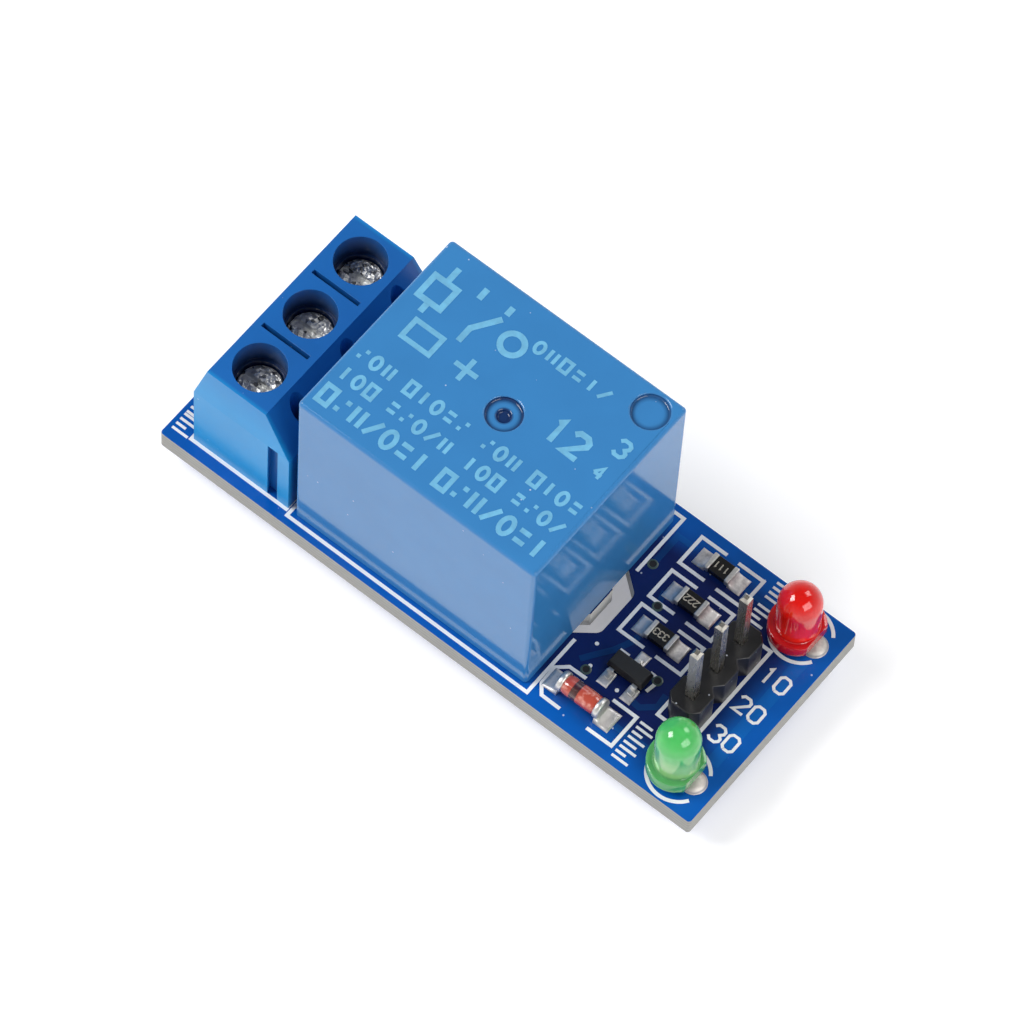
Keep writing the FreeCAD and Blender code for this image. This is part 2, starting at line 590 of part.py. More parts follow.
def coil_winding():
    """The turns of enamelled wire as one ring between the flanges."""
    inner = CORE_RADIUS + BOBBIN_CLEARANCE + BOBBIN_HUB_WALL
    low = FOOT_TOP + BOBBIN_FLANGE
    high = BOBBIN_TOP - BOBBIN_FLANGE
    return rod(COIL_X, 0, WINDING_RADIUS, low, high).cut(rod(COIL_X, 0, inner, low - 1, high + 1))


def coil_pin(side):
    """Square pin from the bobbin's lug to the clipped tail."""
    return post(COIL_PIN_X, side * PIN_ROW_HALF, COIL_PIN_SIDE, COIL_PIN_SIDE, 0,
                FOOT_TOP + BOBBIN_FLANGE)


def common_pin():
    """Plate welded to the back of the yoke, drawn out below into the common pin."""
    x0 = COMMON_X - CONTACT_PIN_THICKNESS / 2
    x1 = COMMON_X + CONTACT_PIN_THICKNESS / 2
    half = CONTACT_PIN_WIDTH / 2
    wide = COMMON_PLATE_WIDTH / 2
    plate = [(-half, 0), (half, 0), (half, BASE_Z1), (wide, BASE_Z1), (wide, BASE_Z1 + COMMON_PLATE_HEIGHT),
             (-wide, BASE_Z1 + COMMON_PLATE_HEIGHT), (-wide, BASE_Z1), (-half, BASE_Z1)]
    return prism_x(plate, x0, x1)


def armature():
    """Flat iron lever that tips on the yoke's top edge, tapered towards the pole."""
    far = COIL_X - POLE_RADIUS - ARMATURE_OVER_POLE
    half = YOKE_WIDTH / 2
    near = YOKE_INNER_X - YOKE_THICKNESS
    tip = half - YOKE_THICKNESS / 2
    return prism_z([(YOKE_OUTER_X, -half), (YOKE_OUTER_X, half), (near, half), (far, tip), (far, -tip),
                    (near, -half)], ARMATURE_Z0, ARMATURE_Z1)


def contact_leaf():
    """Spring leaf riveted on the armature: it bends down the yoke's back and carries the contact."""
    x1 = LEAF_BACK_X + LEAF_THICKNESS
    wide = LEAF_WIDTH / 2
    thin = LEAF_TONGUE_WIDTH / 2
    far = COIL_X - POLE_RADIUS
    end = CONTACT_X - CONTACT_RADIUS
    blade = prism_z([(x1, -wide), (x1, wide), (COIL_X, wide), (far, thin), (end, thin), (end, -thin),
                     (far, -thin), (COIL_X, -wide)], ARMATURE_Z1, LEAF_Z1)
    leg = box(LEAF_BACK_X, x1, -wide, wide, LEAF_Z1 - LEAF_DROP, LEAF_Z1)
    hole = small_rod(CONTACT_X, 0, CONTACT_RADIUS / 2, ARMATURE_Z1 - 1, LEAF_Z1 + 1)
    return blade.fuse(leg).cut(hole).removeSplitter()


def moving_contact():
    """Silver rivet through the leaf, with a button above and below."""
    low = small_rod(CONTACT_X, 0, CONTACT_RADIUS, ARMATURE_Z1 - CONTACT_BUTTON, ARMATURE_Z1)
    shank = small_rod(CONTACT_X, 0, CONTACT_RADIUS / 2, ARMATURE_Z1, LEAF_Z1)
    high = small_rod(CONTACT_X, 0, CONTACT_RADIUS, LEAF_Z1, LEAF_Z1 + CONTACT_BUTTON)
    return low.fuse([shank, high])


def fixed_contact(side, arm_z0, button_z0, button_z1):
    """Stamped strip from a tail up one side and in over the middle, with a contact button."""
    y = side * PIN_ROW_HALF
    out = y + side * CONTACT_PIN_THICKNESS / 2
    near = y - side * CONTACT_PIN_THICKNESS / 2
    tip = -side * CONTACT_RADIUS
    arm_z1 = arm_z0 + FIXED_STRIP
    half = FIXED_STRIP_WIDTH / 2
    strip = prism_x([(out, BASE_Z1), (out, arm_z1), (tip, arm_z1), (tip, arm_z0), (near, arm_z0),
                     (near, BASE_Z1)], CONTACT_X - half, CONTACT_X + half)
    tail = post(CONTACT_X, y, CONTACT_PIN_WIDTH, CONTACT_PIN_THICKNESS, 0, BASE_Z1)
    button = small_rod(CONTACT_X, 0, CONTACT_RADIUS, button_z0, button_z1)
    return strip.fuse([tail, button]).removeSplitter()


def normally_open_contact():
    """Lower fixed contact: the leaf comes down on it when the coil is powered."""
    button_top = ARMATURE_Z1 - CONTACT_BUTTON - CONTACT_GAP
    arm_z0 = button_top - FIXED_BUTTON - FIXED_STRIP
    return fixed_contact(-1, arm_z0, button_top - FIXED_BUTTON, button_top)


def normally_closed_contact():
    """Upper fixed contact: the leaf rests against it when the coil is off."""
    strip_z0 = UPPER_STRIP_Z1 - FIXED_STRIP
    return fixed_contact(1, strip_z0, UPPER_BUTTON_Z0, strip_z0)


# Control header

def header_body():
    """Three joined eight-sided posts that hold the pins."""
    a = HEADER_WIDTH / 2
    c = HEADER_CHAMFER
    posts = []
    for y in HEADER_YS:
        b = HEADER_PITCH / 2
        posts.append(prism_z([(HEADER_X - a, y - b + c), (HEADER_X - a + c, y - b), (HEADER_X + a - c, y - b),
                              (HEADER_X + a, y - b + c), (HEADER_X + a, y + b - c), (HEADER_X + a - c, y + b),
                              (HEADER_X - a + c, y + b), (HEADER_X - a, y + b - c)],
                             BOARD_TOP, BOARD_TOP + HEADER_HEIGHT))
    pins = [post(x, y, s, t, BOARD_TOP - 1, BOARD_TOP + HEADER_HEIGHT + 1) for x, y, s, t in header_pins()]
    return posts[0].fuse(posts[1:]).cut(pins).removeSplitter()


def header_pin(y):
    """Square pin with a blunt point at each end."""
    half = HEADER_PIN_SIDE / 2
    z0 = BOARD_TOP - HEADER_PIN_BELOW
    z1 = BOARD_TOP + HEADER_HEIGHT + HEADER_PIN_ABOVE
    p = HEADER_PIN_POINT
    t = half / 2
    outline = [(-half, z0 + p), (-t, z0), (t, z0), (half, z0 + p), (half, z1 - p), (t, z1), (-t, z1),
               (-half, z1 - p)]
    across = prism_y([(HEADER_X + u, z) for u, z in outline], y - half, y + half)
    along = prism_x([(y + u, z) for u, z in outline], HEADER_X - half, HEADER_X + half)
    return across.common(along)


# Lights

def led_leads(side):
    """Stamped lead frame: the anvil that holds the chip and the post beside it, each with its lead."""
    y = side * LED_Y
    half = LED_LEAD_SIDE / 2
    top = LED_Z0 + LED_FRAME_HEIGHT
    waist = LED_Z0 + LED_FLANGE_HEIGHT + LED_LEAD_SIDE
    gap = LED_LEAD_SIDE / 2
    out = LED_LEAD_PITCH / 2
    anvil = [(out - half, 0), (out + half, 0), (out + half, LED_Z0 + LED_LEAD_SIDE), (out - half, waist),
             (out - half, top), (-gap, top), (-gap, waist + LED_LEAD_SIDE),
             (out - half, LED_Z0 + LED_LEAD_SIDE)]
    stem = [(-out + half, 0), (-out - half, 0), (-out - half, LED_Z0 + LED_LEAD_SIDE),
            (-gap * 3.4, waist), (-gap * 3.4, top), (-gap * 2, top), (-gap * 2, waist - half),
            (-out + half, LED_Z0 + LED_LEAD_SIDE / 2)]
    return Part.makeCompound([prism_y([(LED_X + u, z) for u, z in side_view], y - half, y + half)
                              for side_view in (anvil, stem)])


def led_lens(side):
    """Coloured lens with a domed top and a flanged foot, flat on the cathode side."""
    y = side * LED_Y
    dome_z = LED_Z0 + LED_HEIGHT - LED_RADIUS
    barrel = rod(LED_X, y, LED_RADIUS, LED_Z0, dome_z)
    dome = Part.makeSphere(LED_RADIUS, V(LED_X, y, dome_z), V(0, 0, 1), 0, 90, 360)
    foot = rod(LED_X, y, LED_FLANGE_RADIUS, LED_Z0, LED_Z0 + LED_FLANGE_HEIGHT)
    foot = foot.common(box(LED_X - 2 * LED_FLANGE_RADIUS, LED_X + LED_FLAT, y - 2 * LED_FLANGE_RADIUS,
                           y + 2 * LED_FLANGE_RADIUS, LED_Z0 - 1, LED_Z0 + LED_HEIGHT))
    return barrel.fuse([dome, foot]).removeSplitter().cut(led_leads(side))


# Surface-mounted parts

def resistor(y):
    """Ceramic chip between its two plated ends."""
    half = RESISTOR_LENGTH / 2 - RESISTOR_END
    return box(CHIP_X - half, CHIP_X + half, y - RESISTOR_WIDTH / 2, y + RESISTOR_WIDTH / 2,
               CHIP_Z0 + RESISTOR_END_PROUD, CHIP_Z0 + RESISTOR_HEIGHT)


def resistor_ends():
    """Plated end caps of all the chips, a little proud of the ceramic."""
    ends = []
    proud = RESISTOR_END_PROUD
    for y in RESISTOR_YS:
        for side in (-1, 1):
            a = CHIP_X + side * (RESISTOR_LENGTH / 2 - RESISTOR_END)
            b = CHIP_X + side * RESISTOR_LENGTH / 2
            ends.append(box(min(a, b), max(a, b), y - RESISTOR_WIDTH / 2 - proud,
                            y + RESISTOR_WIDTH / 2 + proud, CHIP_Z0, CHIP_Z0 + RESISTOR_HEIGHT + proud))
    return Part.makeCompound(ends)


def end_pad(x, side, y, width, rise):
    """Tinned pad under a chip's end, with solder climbing the end face."""
    inner = x - side * PAD_UNDER
    outer = x + side * PAD_BEYOND
    return prism_y([(inner, BOARD_TOP), (outer, BOARD_TOP), (outer, CHIP_Z0),
                    (x + side * PAD_BEYOND / 2, CHIP_Z0 + rise / 3), (x, CHIP_Z0 + rise), (x, CHIP_Z0),
                    (inner, CHIP_Z0)], y - width / 2, y + width / 2)


def lead_pad(x, y, side):
    """Tinned pad under one transistor lead."""
    length = 3 * TRANSISTOR_LEAD_WIDTH
    a = y - side * length / 3
    b = y + side * length * 2 / 3
    return box(x - TRANSISTOR_LEAD_WIDTH, x + TRANSISTOR_LEAD_WIDTH, min(a, b), max(a, b), BOARD_TOP, CHIP_Z0)


def transistor_feet():
    """(x, y, side) of the three lead tips."""
    y = TRANSISTOR_SPAN / 2 - TRANSISTOR_LEAD_WIDTH / 2
    return [(CHIP_X, TRANSISTOR_Y + y, 1),
            (CHIP_X - TRANSISTOR_LEAD_PITCH / 2, TRANSISTOR_Y - y, -1),
            (CHIP_X + TRANSISTOR_LEAD_PITCH / 2, TRANSISTOR_Y - y, -1)]


def surface_pads():
    """Tinned pads and solder of the resistors, the transistor and the diode."""
    pads = []
    for y in RESISTOR_YS:
        for side in (-1, 1):
            pads.append(end_pad(CHIP_X + side * RESISTOR_LENGTH / 2, side, y, RESISTOR_WIDTH + 0.1,
                                SMD_SOLDER_RISE))
    for side in (-1, 1):
        pads.append(end_pad(DIODE_X + side * DIODE_LENGTH / 2, side, DIODE_Y, 2 * DIODE_CAP_RADIUS + 0.1,
                            SMD_SOLDER_RISE))
    for x, y, side in transistor_feet():
        pads.append(lead_pad(x, y, side))
    return Part.makeCompound(pads)


def transistor_body():
    """Moulded package, drafted on all four sides from its parting line up."""
    z0 = BOARD_TOP + TRANSISTOR_LIFT
    z1 = z0 + TRANSISTOR_HEIGHT
    zm = (z0 + z1) / 2
    d = TRANSISTOR_DRAFT
    a = TRANSISTOR_LENGTH / 2
    b = TRANSISTOR_WIDTH / 2
    long_view = [(CHIP_X - a, zm), (CHIP_X - a + d, z0), (CHIP_X + a - d, z0), (CHIP_X + a, zm),
                 (CHIP_X + a - d, z1), (CHIP_X - a + d, z1)]
    y = TRANSISTOR_Y
    end_view = [(y - b, zm), (y - b + d, z0), (y + b - d, z0), (y + b, zm), (y + b - d, z1), (y - b + d, z1)]
    return prism_y(long_view, y - b, y + b).common(prism_x(end_view, CHIP_X - a, CHIP_X + a))


def transistor_leads():
    """Three gull-wing leads from the parting line down to their pads."""
    zm = BOARD_TOP + TRANSISTOR_LIFT + TRANSISTOR_HEIGHT / 2
    t = TRANSISTOR_LEAD_THICKNESS
    w = TRANSISTOR_LEAD_WIDTH
    root = TRANSISTOR_WIDTH / 2
    tip = TRANSISTOR_SPAN / 2
    leads = []
    for x, _, side in transistor_feet():
        bend = root + t
        view = [(root, zm + t / 2), (bend + t, zm + t / 2), (bend + t, CHIP_Z0 + t), (tip, CHIP_Z0 + t),
                (tip, CHIP_Z0), (bend, CHIP_Z0), (bend, zm - t / 2), (root, zm - t / 2)]
        points = [(TRANSISTOR_Y + side * u, z) for u, z in view]
        leads.append(prism_x(points, x - w / 2, x + w / 2).cut(transistor_body()))
    return Part.makeCompound(leads)


def lying_rod(x0, x1, radius):
    """A cylinder along X on the diode's axis."""
    return Part.makeCylinder(radius, x1 - x0, V(x0, DIODE_Y, CHIP_Z0 + DIODE_CAP_RADIUS), V(1, 0, 0))


def diode_glass():
    """Glass barrel of the diode."""
    half = DIODE_LENGTH / 2 - DIODE_CAP_LENGTH
    return lying_rod(DIODE_X - half, DIODE_X + half, DIODE_GLASS_RADIUS)


def diode_caps():
    """Metal caps on the ends of the glass."""
    caps = []
    for side in (-1, 1):
        a = DIODE_X + side * (DIODE_LENGTH / 2 - DIODE_CAP_LENGTH)
        b = DIODE_X + side * DIODE_LENGTH / 2
        caps.append(lying_rod(min(a, b), max(a, b), DIODE_CAP_RADIUS))
    return Part.makeCompound(caps)


def sub_parts():
    """Every node's name and shape."""
    nodes = {
        "circuit_board": circuit_board(),
        "terminal_housing": terminal_housing(),
        "relay_cover": relay_cover(),
        "relay_base": relay_base(),
        "yoke": yoke(),
        "iron_core": iron_core(),
        "coil_bobbin": coil_bobbin(),
        "coil_winding": coil_winding(),
        "common_pin": common_pin(),
        "armature": armature(),
        "contact_leaf": contact_leaf(),
        "moving_contact": moving_contact(),
        "normally_open_contact": normally_open_contact(),
        "normally_closed_contact": normally_closed_contact(),
        "header_body": header_body(),
        "red_led_lens": led_lens(1),
        "red_led_leads": led_leads(1),
        "green_led_lens": led_lens(-1),
        "green_led_leads": led_leads(-1),
        "resistor_ends": resistor_ends(),
        "transistor_body": transistor_body(),
        "transistor_leads": transistor_leads(),
        "diode_glass": diode_glass(),
        "diode_caps": diode_caps(),
        "surface_pads": surface_pads(),
        "relay_solder": solder_joints(relay_pins()),
        "terminal_solder": solder_joints(terminal_pins()),
        "header_solder": solder_joints(header_pins()),
        "led_solder": led_solder(),
    }
    for i, y in enumerate(POLE_YS, start=1):
        nodes[f"terminal_contact_{i}"] = terminal_contact(y)
        nodes[f"terminal_screw_{i}"] = terminal_screw(y)
        nodes[f"wire_guard_{i}"] = wire_guard(y)
    for i, side in enumerate((-1, 1), start=1):
        nodes[f"coil_pin_{i}"] = coil_pin(side)
    for i, y in enumerate(HEADER_YS, start=1):
        nodes[f"header_pin_{i}"] = header_pin(y)
    for i, y in enumerate(RESISTOR_YS, start=1):
        nodes[f"resistor_{i}"] = resistor(y)
    return nodes


os.makedirs("parts", exist_ok=True)
for name, shape in sub_parts().items():
    if not shape.isValid():
        raise ValueError(f"{name} is not a valid solid")
    shape.exportStep(f"parts/{name}.step")
    b = shape.BoundBox
    print(f"{name:26s} {len(shape.Solids)} solid(s) {shape.Volume:9.3f} mm3  "
          f"x {b.XMin:7.2f} {b.XMax:7.2f}  y {b.YMin:6.2f} {b.YMax:6.2f}  z {b.ZMin:6.2f} {b.ZMax:6.2f}")
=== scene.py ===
# %% [markdown]
# # A relay module board, dressed for its portrait
#
# The board comes from the workshop as solids: the circuit board, the relay and its works, the
# terminal block, the header, the two lights and the small parts, each in its place. This lesson
# gives them what a camera sees and a drawing leaves out: edges that are a little round, solder that
# has flowed, white print, the tint of plastic, and metal that catches the light.
#
# Every length is in millimetres until it reaches a mesh, and the frame is the workshop's own: X runs
# from the screw terminals to the control header, Y across the board and Z up.

# %% Tools, the frame and its box
import bmesh
import bpy
import math
import numpy as np
from mathutils import Matrix, Vector


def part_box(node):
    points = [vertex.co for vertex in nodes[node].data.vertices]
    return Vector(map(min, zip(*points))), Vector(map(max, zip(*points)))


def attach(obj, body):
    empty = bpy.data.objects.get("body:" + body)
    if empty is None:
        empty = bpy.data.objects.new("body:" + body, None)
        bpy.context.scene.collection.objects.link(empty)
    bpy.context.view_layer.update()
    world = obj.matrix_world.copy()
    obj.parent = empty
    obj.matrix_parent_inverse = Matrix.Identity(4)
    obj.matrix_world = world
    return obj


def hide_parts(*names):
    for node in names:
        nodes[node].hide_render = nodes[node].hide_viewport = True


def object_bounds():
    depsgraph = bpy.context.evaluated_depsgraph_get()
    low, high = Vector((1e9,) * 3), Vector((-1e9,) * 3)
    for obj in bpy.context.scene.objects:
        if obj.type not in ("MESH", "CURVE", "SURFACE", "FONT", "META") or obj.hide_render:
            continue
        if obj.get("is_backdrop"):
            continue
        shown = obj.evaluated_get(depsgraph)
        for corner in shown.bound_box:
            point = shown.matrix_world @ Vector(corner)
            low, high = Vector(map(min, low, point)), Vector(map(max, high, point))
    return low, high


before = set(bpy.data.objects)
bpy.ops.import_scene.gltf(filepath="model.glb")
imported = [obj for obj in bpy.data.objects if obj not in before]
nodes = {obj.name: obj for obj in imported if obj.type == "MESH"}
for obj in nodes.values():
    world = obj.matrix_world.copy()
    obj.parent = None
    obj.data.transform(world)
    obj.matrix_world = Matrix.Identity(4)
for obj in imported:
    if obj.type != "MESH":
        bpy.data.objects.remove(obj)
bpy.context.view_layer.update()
MM = 0.001


def box_mm(name):
    """Lowest and highest corner of a solid, in millimetres."""
    low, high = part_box(name)
    return np.array(low) / MM, np.array(high) / MM


def middle_mm(name):
    """The middle of a solid's box, in millimetres."""
    return sum(box_mm(name)) / 2


BOARD_BOTTOM, BOARD_TOP = (corner[2] for corner in box_mm("circuit_board"))
print("board from", round(BOARD_BOTTOM, 2), "to", round(BOARD_TOP, 2), "mm")

# %% [markdown]
# ## The camera
#
# The picture was taken from well above and from the corner between the relay's long wall and the
# control end, with a long lens, so that the edges stay almost parallel. A camera in Blender looks
# along its own minus Z. It could be turned by three angles. It is simpler to name the point that it
# looks at and the small roll of the picture, and to let the library work out the turn.

# %% Camera
CAMERA_AT, CAMERA_AIM = Vector((132.958, -190.187, 454.235)) * MM, Vector((-0.679, 1.383, 3.6)) * MM
CAMERA_LENS, CAMERA_ROLL = 275.3, 4.3695


def new_object(name, data):
    """An object of this name and data in the scene."""
    thing = bpy.data.objects.new(name, data)
    bpy.context.scene.collection.objects.link(thing)
    return thing


def facing(place, aim):
    """The turn that points an object's own minus Z from one point at another."""
    return (aim - place).to_track_quat("-Z", "Y").to_matrix()


def make_camera():
    """A camera at a point, aimed at another, rolled about its line of sight."""
    data = bpy.data.cameras.new("camera")
    data.sensor_width, data.lens = 36.0, CAMERA_LENS
    data.clip_start, data.clip_end = 0.01, 20.0
    camera = new_object("camera", data)
    roll = Matrix.Rotation(math.radians(CAMERA_ROLL), 3, "Z")
    camera.matrix_world = Matrix.Translation(CAMERA_AT) @ (facing(CAMERA_AT, CAMERA_AIM) @ roll).to_4x4()
    bpy.context.scene.camera = camera


make_camera()
print("camera at", [round(x, 3) for x in CAMERA_AT])

# %% [markdown]
# ## Light, floor and white surroundings
#
# In the picture the tops are clear, the wells are dark inside, the long wall is pale and the end wall
# is deeper. So the main soft box hangs high on the terminal side, a weaker one lifts the control end
# and a small one behind the board brightens the far edges. The room is bright near the floor and dim
# overhead, which keeps the lacquer deep. The floor is painted white. Seen directly or in a reflection
# it also glows a little, so the background is clean while the board's own shadow stays on it. The
# lamps themselves stay at a plain level.

# %% Colour helper and the node helpers
def srgb(r, g, b):
    """A colour that is read off in 0 to 255, as the linear values that a shader works with."""
    c = np.array([r, g, b]) / 255.0
    return (*np.where(c <= 0.04045, c / 12.92, ((c + 0.055) / 1.055) ** 2.4), 1.0)


def give(tree, node, **values):
    """Fills inputs of a node by name, with _ for a space: a socket is linked and a number is set."""
    for key, value in values.items():
        entry = node.inputs[int(key) if key.isdigit() else key.replace("_", " ")]
        if isinstance(value, bpy.types.NodeSocket):
            tree.links.new(value, entry)
        else:
            entry.default_value = value
    return node


def add(tree, kind, **settings):
    """A new node; settings name its properties, or its inputs where a name starts with in_."""
    node = tree.nodes.new(kind)
    for key, value in settings.items():
        if not key.startswith("in_"):
            setattr(node, key, value)
    return give(tree, node, **{key[3:]: value for key, value in settings.items() if key[:3] == "in_"})


def mix_colour(tree, factor, a, b, blend="MIX"):
    """A colour mix whose ends are sockets or plain colours; gives its output socket."""
    return add(tree, "ShaderNodeMix", data_type="RGBA", blend_type=blend, in_0=factor, in_6=a,
               in_7=b).outputs[2]


def stretch(tree, value, low, high, to_low=0.0, to_high=1.0, smooth=False):
    """Maps a value between two limits onto two others and clips it there."""
    return add(tree, "ShaderNodeMapRange", interpolation_type="SMOOTHSTEP" if smooth else "LINEAR",
               in_0=value, in_1=low, in_2=high, in_3=to_low, in_4=to_high).outputs[0]


def rise(tree, value, low, high, top=1.0, smooth=False):
    """From 0 to a top value between two limits in millimetres."""
    return stretch(tree, value, low * MM, high * MM, 0.0, top, smooth)


def fall(tree, value, low, high, top=1.0):
    """From a top value to 0 between two limits in millimetres."""
    return stretch(tree, value, low * MM, high * MM, top, 0.0)


def maths(tree, operation, a, b=0.0):
    """One sum on two values, each a socket or a number."""
    return add(tree, "ShaderNodeMath", operation=operation, in_0=a, in_1=b).outputs[0]


def times(tree, a, *more):
    """The product of several values."""
    for b in more:
        a = maths(tree, "MULTIPLY", a, b)
    return a


# %% Floor, surround and lamps
FLOOR_HALF, FLOOR_GLOW = 1.5, 0.30
AT_HORIZON, OVERHEAD = 0.95, 0.16
LAMPS = [("key light", (-275, -175, 380), 1.85, 0.24, 0.20),
         ("end light", (330, -60, 250), 0.82, 0.30, 0.22),
         ("rear light", (90, 340, 380), 0.55, 0.20, 0.20)]
LAMPS_FACE = Vector((0, 0, 8)) * MM


def white_where_seen(tree, lit, glow):
    """Adds a plain white glow to a shader, for rays that come from the camera, a mirror or glass."""
    path = add(tree, "ShaderNodeLightPath")
    seen = maths(tree, "MAXIMUM", path.outputs["Is Camera Ray"], path.outputs["Is Glossy Ray"])
    seen = maths(tree, "MAXIMUM", seen, path.outputs["Is Transmission Ray"])
    light = add(tree, "ShaderNodeEmission", in_Color=(1, 1, 1, 1), in_Strength=times(tree, seen, glow))
    return add(tree, "ShaderNodeAddShader", in_0=lit.outputs[0], in_1=light.outputs[0]).outputs[0]


def make_floor():
    """One wide sheet just under the cut tails that the board stands on."""
    half = FLOOR_HALF
    data = bpy.data.meshes.new("floor")
    data.from_pydata([(-half, -half, 0), (half, -half, 0), (half, half, 0), (-half, half, 0)], [],
                     [(0, 1, 2, 3)])
    new_object("floor", data)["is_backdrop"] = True
    paint = bpy.data.materials.new("white floor")
    paint.use_nodes = True
    tree = paint.node_tree
    tree.nodes.clear()
    lit = add(tree, "ShaderNodeBsdfDiffuse", in_Color=(0.8, 0.8, 0.81, 1))
    add(tree, "ShaderNodeOutputMaterial", in_Surface=white_where_seen(tree, lit, FLOOR_GLOW))
    data.materials.append(paint)


def make_surround():
    """A room that is bright at the horizon and dim overhead, and plain white where it is seen."""
    world = bpy.data.worlds.new("studio")
    bpy.context.scene.world = world
    world.use_nodes = True
    tree = world.node_tree
    tree.nodes.clear()
    axes = add(tree, "ShaderNodeSeparateXYZ", in_0=add(tree, "ShaderNodeTexCoord").outputs["Generated"])
    level = stretch(tree, axes.outputs[2], 0.0, 0.8, AT_HORIZON, OVERHEAD)
    seen = add(tree, "ShaderNodeLightPath").outputs["Is Camera Ray"]
    sky = add(tree, "ShaderNodeBackground", in_Color=(1, 1, 1, 1),
              in_Strength=maths(tree, "MAXIMUM", level, seen))
    add(tree, "ShaderNodeOutputWorld", in_Surface=sky.outputs[0])


def soft_box(name, place, watts, wide, high):
    """A rectangular lamp at a point in millimetres, facing the board."""
    data = bpy.data.lights.new(name, "AREA")
    data.shape = "RECTANGLE"
    data.size, data.size_y, data.energy = wide, high, watts
    place = Vector(place) * MM
    new_object(name, data).matrix_world = Matrix.Translation(place) @ facing(place, LAMPS_FACE).to_4x4()


bpy.context.scene.view_settings.view_transform = "Standard"
make_floor()
make_surround()
for lamp in LAMPS:
    soft_box(*lamp)
print("floor, surround and", len(bpy.data.lights), "soft boxes")

# %% [markdown]
# ## Finishes as small recipes
#
# No surface here is one flat colour. Moulded plastic is a little cloudy and has the fine grain of its
# mould, drawn metal is streaked, solder is mottled, and dust lies on plastic and lacquer. Three recipes
# are made once, as groups of nodes, and each finish then uses them with its own colour and scale:
# grain, dust and streaks. They read the object's own coordinates, which are metres, so a scale of 1000
# repeats about every millimetre.

# %% Three recipes
def noise(tree, place, scale, detail, rough=0.5):
    """A noise pattern from 0 to 1 at a place."""
    return add(tree, "ShaderNodeTexNoise", in_Vector=place, in_Scale=scale, in_Detail=detail,
               in_Roughness=rough).outputs["Fac"]


def object_place(tree):
    """The place on the object as a vector, and its X, Y and Z, in metres."""
    place = add(tree, "ShaderNodeTexCoord").outputs["Object"]
    return place, *add(tree, "ShaderNodeSeparateXYZ", in_0=place).outputs


def cells(tree, scale):
    """A Voronoi pattern: the distance from each cell's middle, and a chance that is each cell's own."""
    pattern = add(tree, "ShaderNodeTexVoronoi", in_Vector=object_place(tree)[0], in_Scale=scale)
    chance = add(tree, "ShaderNodeSeparateColor", in_0=pattern.outputs["Color"])
    return pattern.outputs["Distance"], chance.outputs[0]


def new_group(name, inputs, outputs):
    """An empty node group with its sockets: those called Colour are colours, the others numbers."""
    group = bpy.data.node_groups.new(name, "ShaderNodeTree")
    for way, labels in (("INPUT", inputs), ("OUTPUT", outputs)):
        for label in labels:
            kind = "NodeSocketColor" if label == "Colour" else "NodeSocketFloat"
            group.interface.new_socket(label, in_out=way, socket_type=kind)
    return group, group.nodes.new("NodeGroupInput").outputs, group.nodes.new("NodeGroupOutput")


def grain_group():
    """Colour darkened in soft patches, and a fine grain that gives height and moves the roughness."""
    g, given, out = new_group("cloud and grain",
                              ["Colour", "Shade", "Patch scale", "Grain scale", "Roughness", "Spread"],
                              ["Colour", "Roughness", "Height"])
    place = object_place(g)[0]
    patch = noise(g, place, given["Patch scale"], 3.0, 0.55)
    grain = noise(g, place, given["Grain scale"], 2.0, 0.6)
    cloud = times(g, stretch(g, patch, 0.35, 0.68), given["Shade"])
    dark = mix_colour(g, 1.0, given["Colour"], (0.55, 0.55, 0.6, 1), "MULTIPLY")
    swing = times(g, maths(g, "SUBTRACT", grain, 0.5), given["Spread"])
    give(g, out, Colour=mix_colour(g, cloud, given["Colour"], dark),
         Roughness=maths(g, "ADD", given["Roughness"], swing), Height=grain)
    return g


def dust_group():
    """Tiny pale specks: the middles of a few of the cells of a Voronoi pattern."""
    g, given, out = new_group("dust", ["Colour", "Scale", "Amount"], ["Colour"])
    span, chance = cells(g, given["Scale"])
    near = stretch(g, span, 0.10, 0.16, 1.0, 0.0)
    speck = times(g, near, maths(g, "LESS_THAN", chance, given["Amount"]), 0.6)
    give(g, out, Colour=mix_colour(g, speck, given["Colour"], srgb(215, 222, 235)))
    return g


def streak_group():
    """Fine lines for drawn metal: noise squeezed along one direction."""
    g, given, out = new_group("streaks", ["Colour", "Scale", "Wear", "Roughness"],
                              ["Colour", "Roughness", "Height"])
    squeeze = add(g, "ShaderNodeMapping", vector_type="POINT", in_Scale=(1.0, 1.0, 0.12),
                  in_Vector=object_place(g)[0])
    lines = noise(g, squeeze.outputs[0], given["Scale"], 4.0, 0.7)
    worn = times(g, stretch(g, lines, 0.45, 0.75), given["Wear"])
    dark = mix_colour(g, 1.0, given["Colour"], (0.45, 0.45, 0.48, 1), "MULTIPLY")
    give(g, out, Colour=mix_colour(g, worn, given["Colour"], dark), Height=lines,
         Roughness=maths(g, "ADD", given["Roughness"], times(g, worn, 0.22)))
    return g


GRAIN, DUST, STREAKS = grain_group(), dust_group(), streak_group()
print("recipes:", [g.name for g in bpy.data.node_groups])


# %% A finish from the recipes
def use(tree, group, **values):
    """Places a recipe in a finish and fills its inputs."""
    return give(tree, add(tree, "ShaderNodeGroup", node_tree=group), **values)


def principled(name, **sockets):
    """A material with one Principled shader, whose constant sockets are set by name."""
    material = bpy.data.materials.new(name)
    material.use_nodes = True
    tree = material.node_tree
    return material, tree, give(tree, tree.nodes["Principled BSDF"], **sockets)


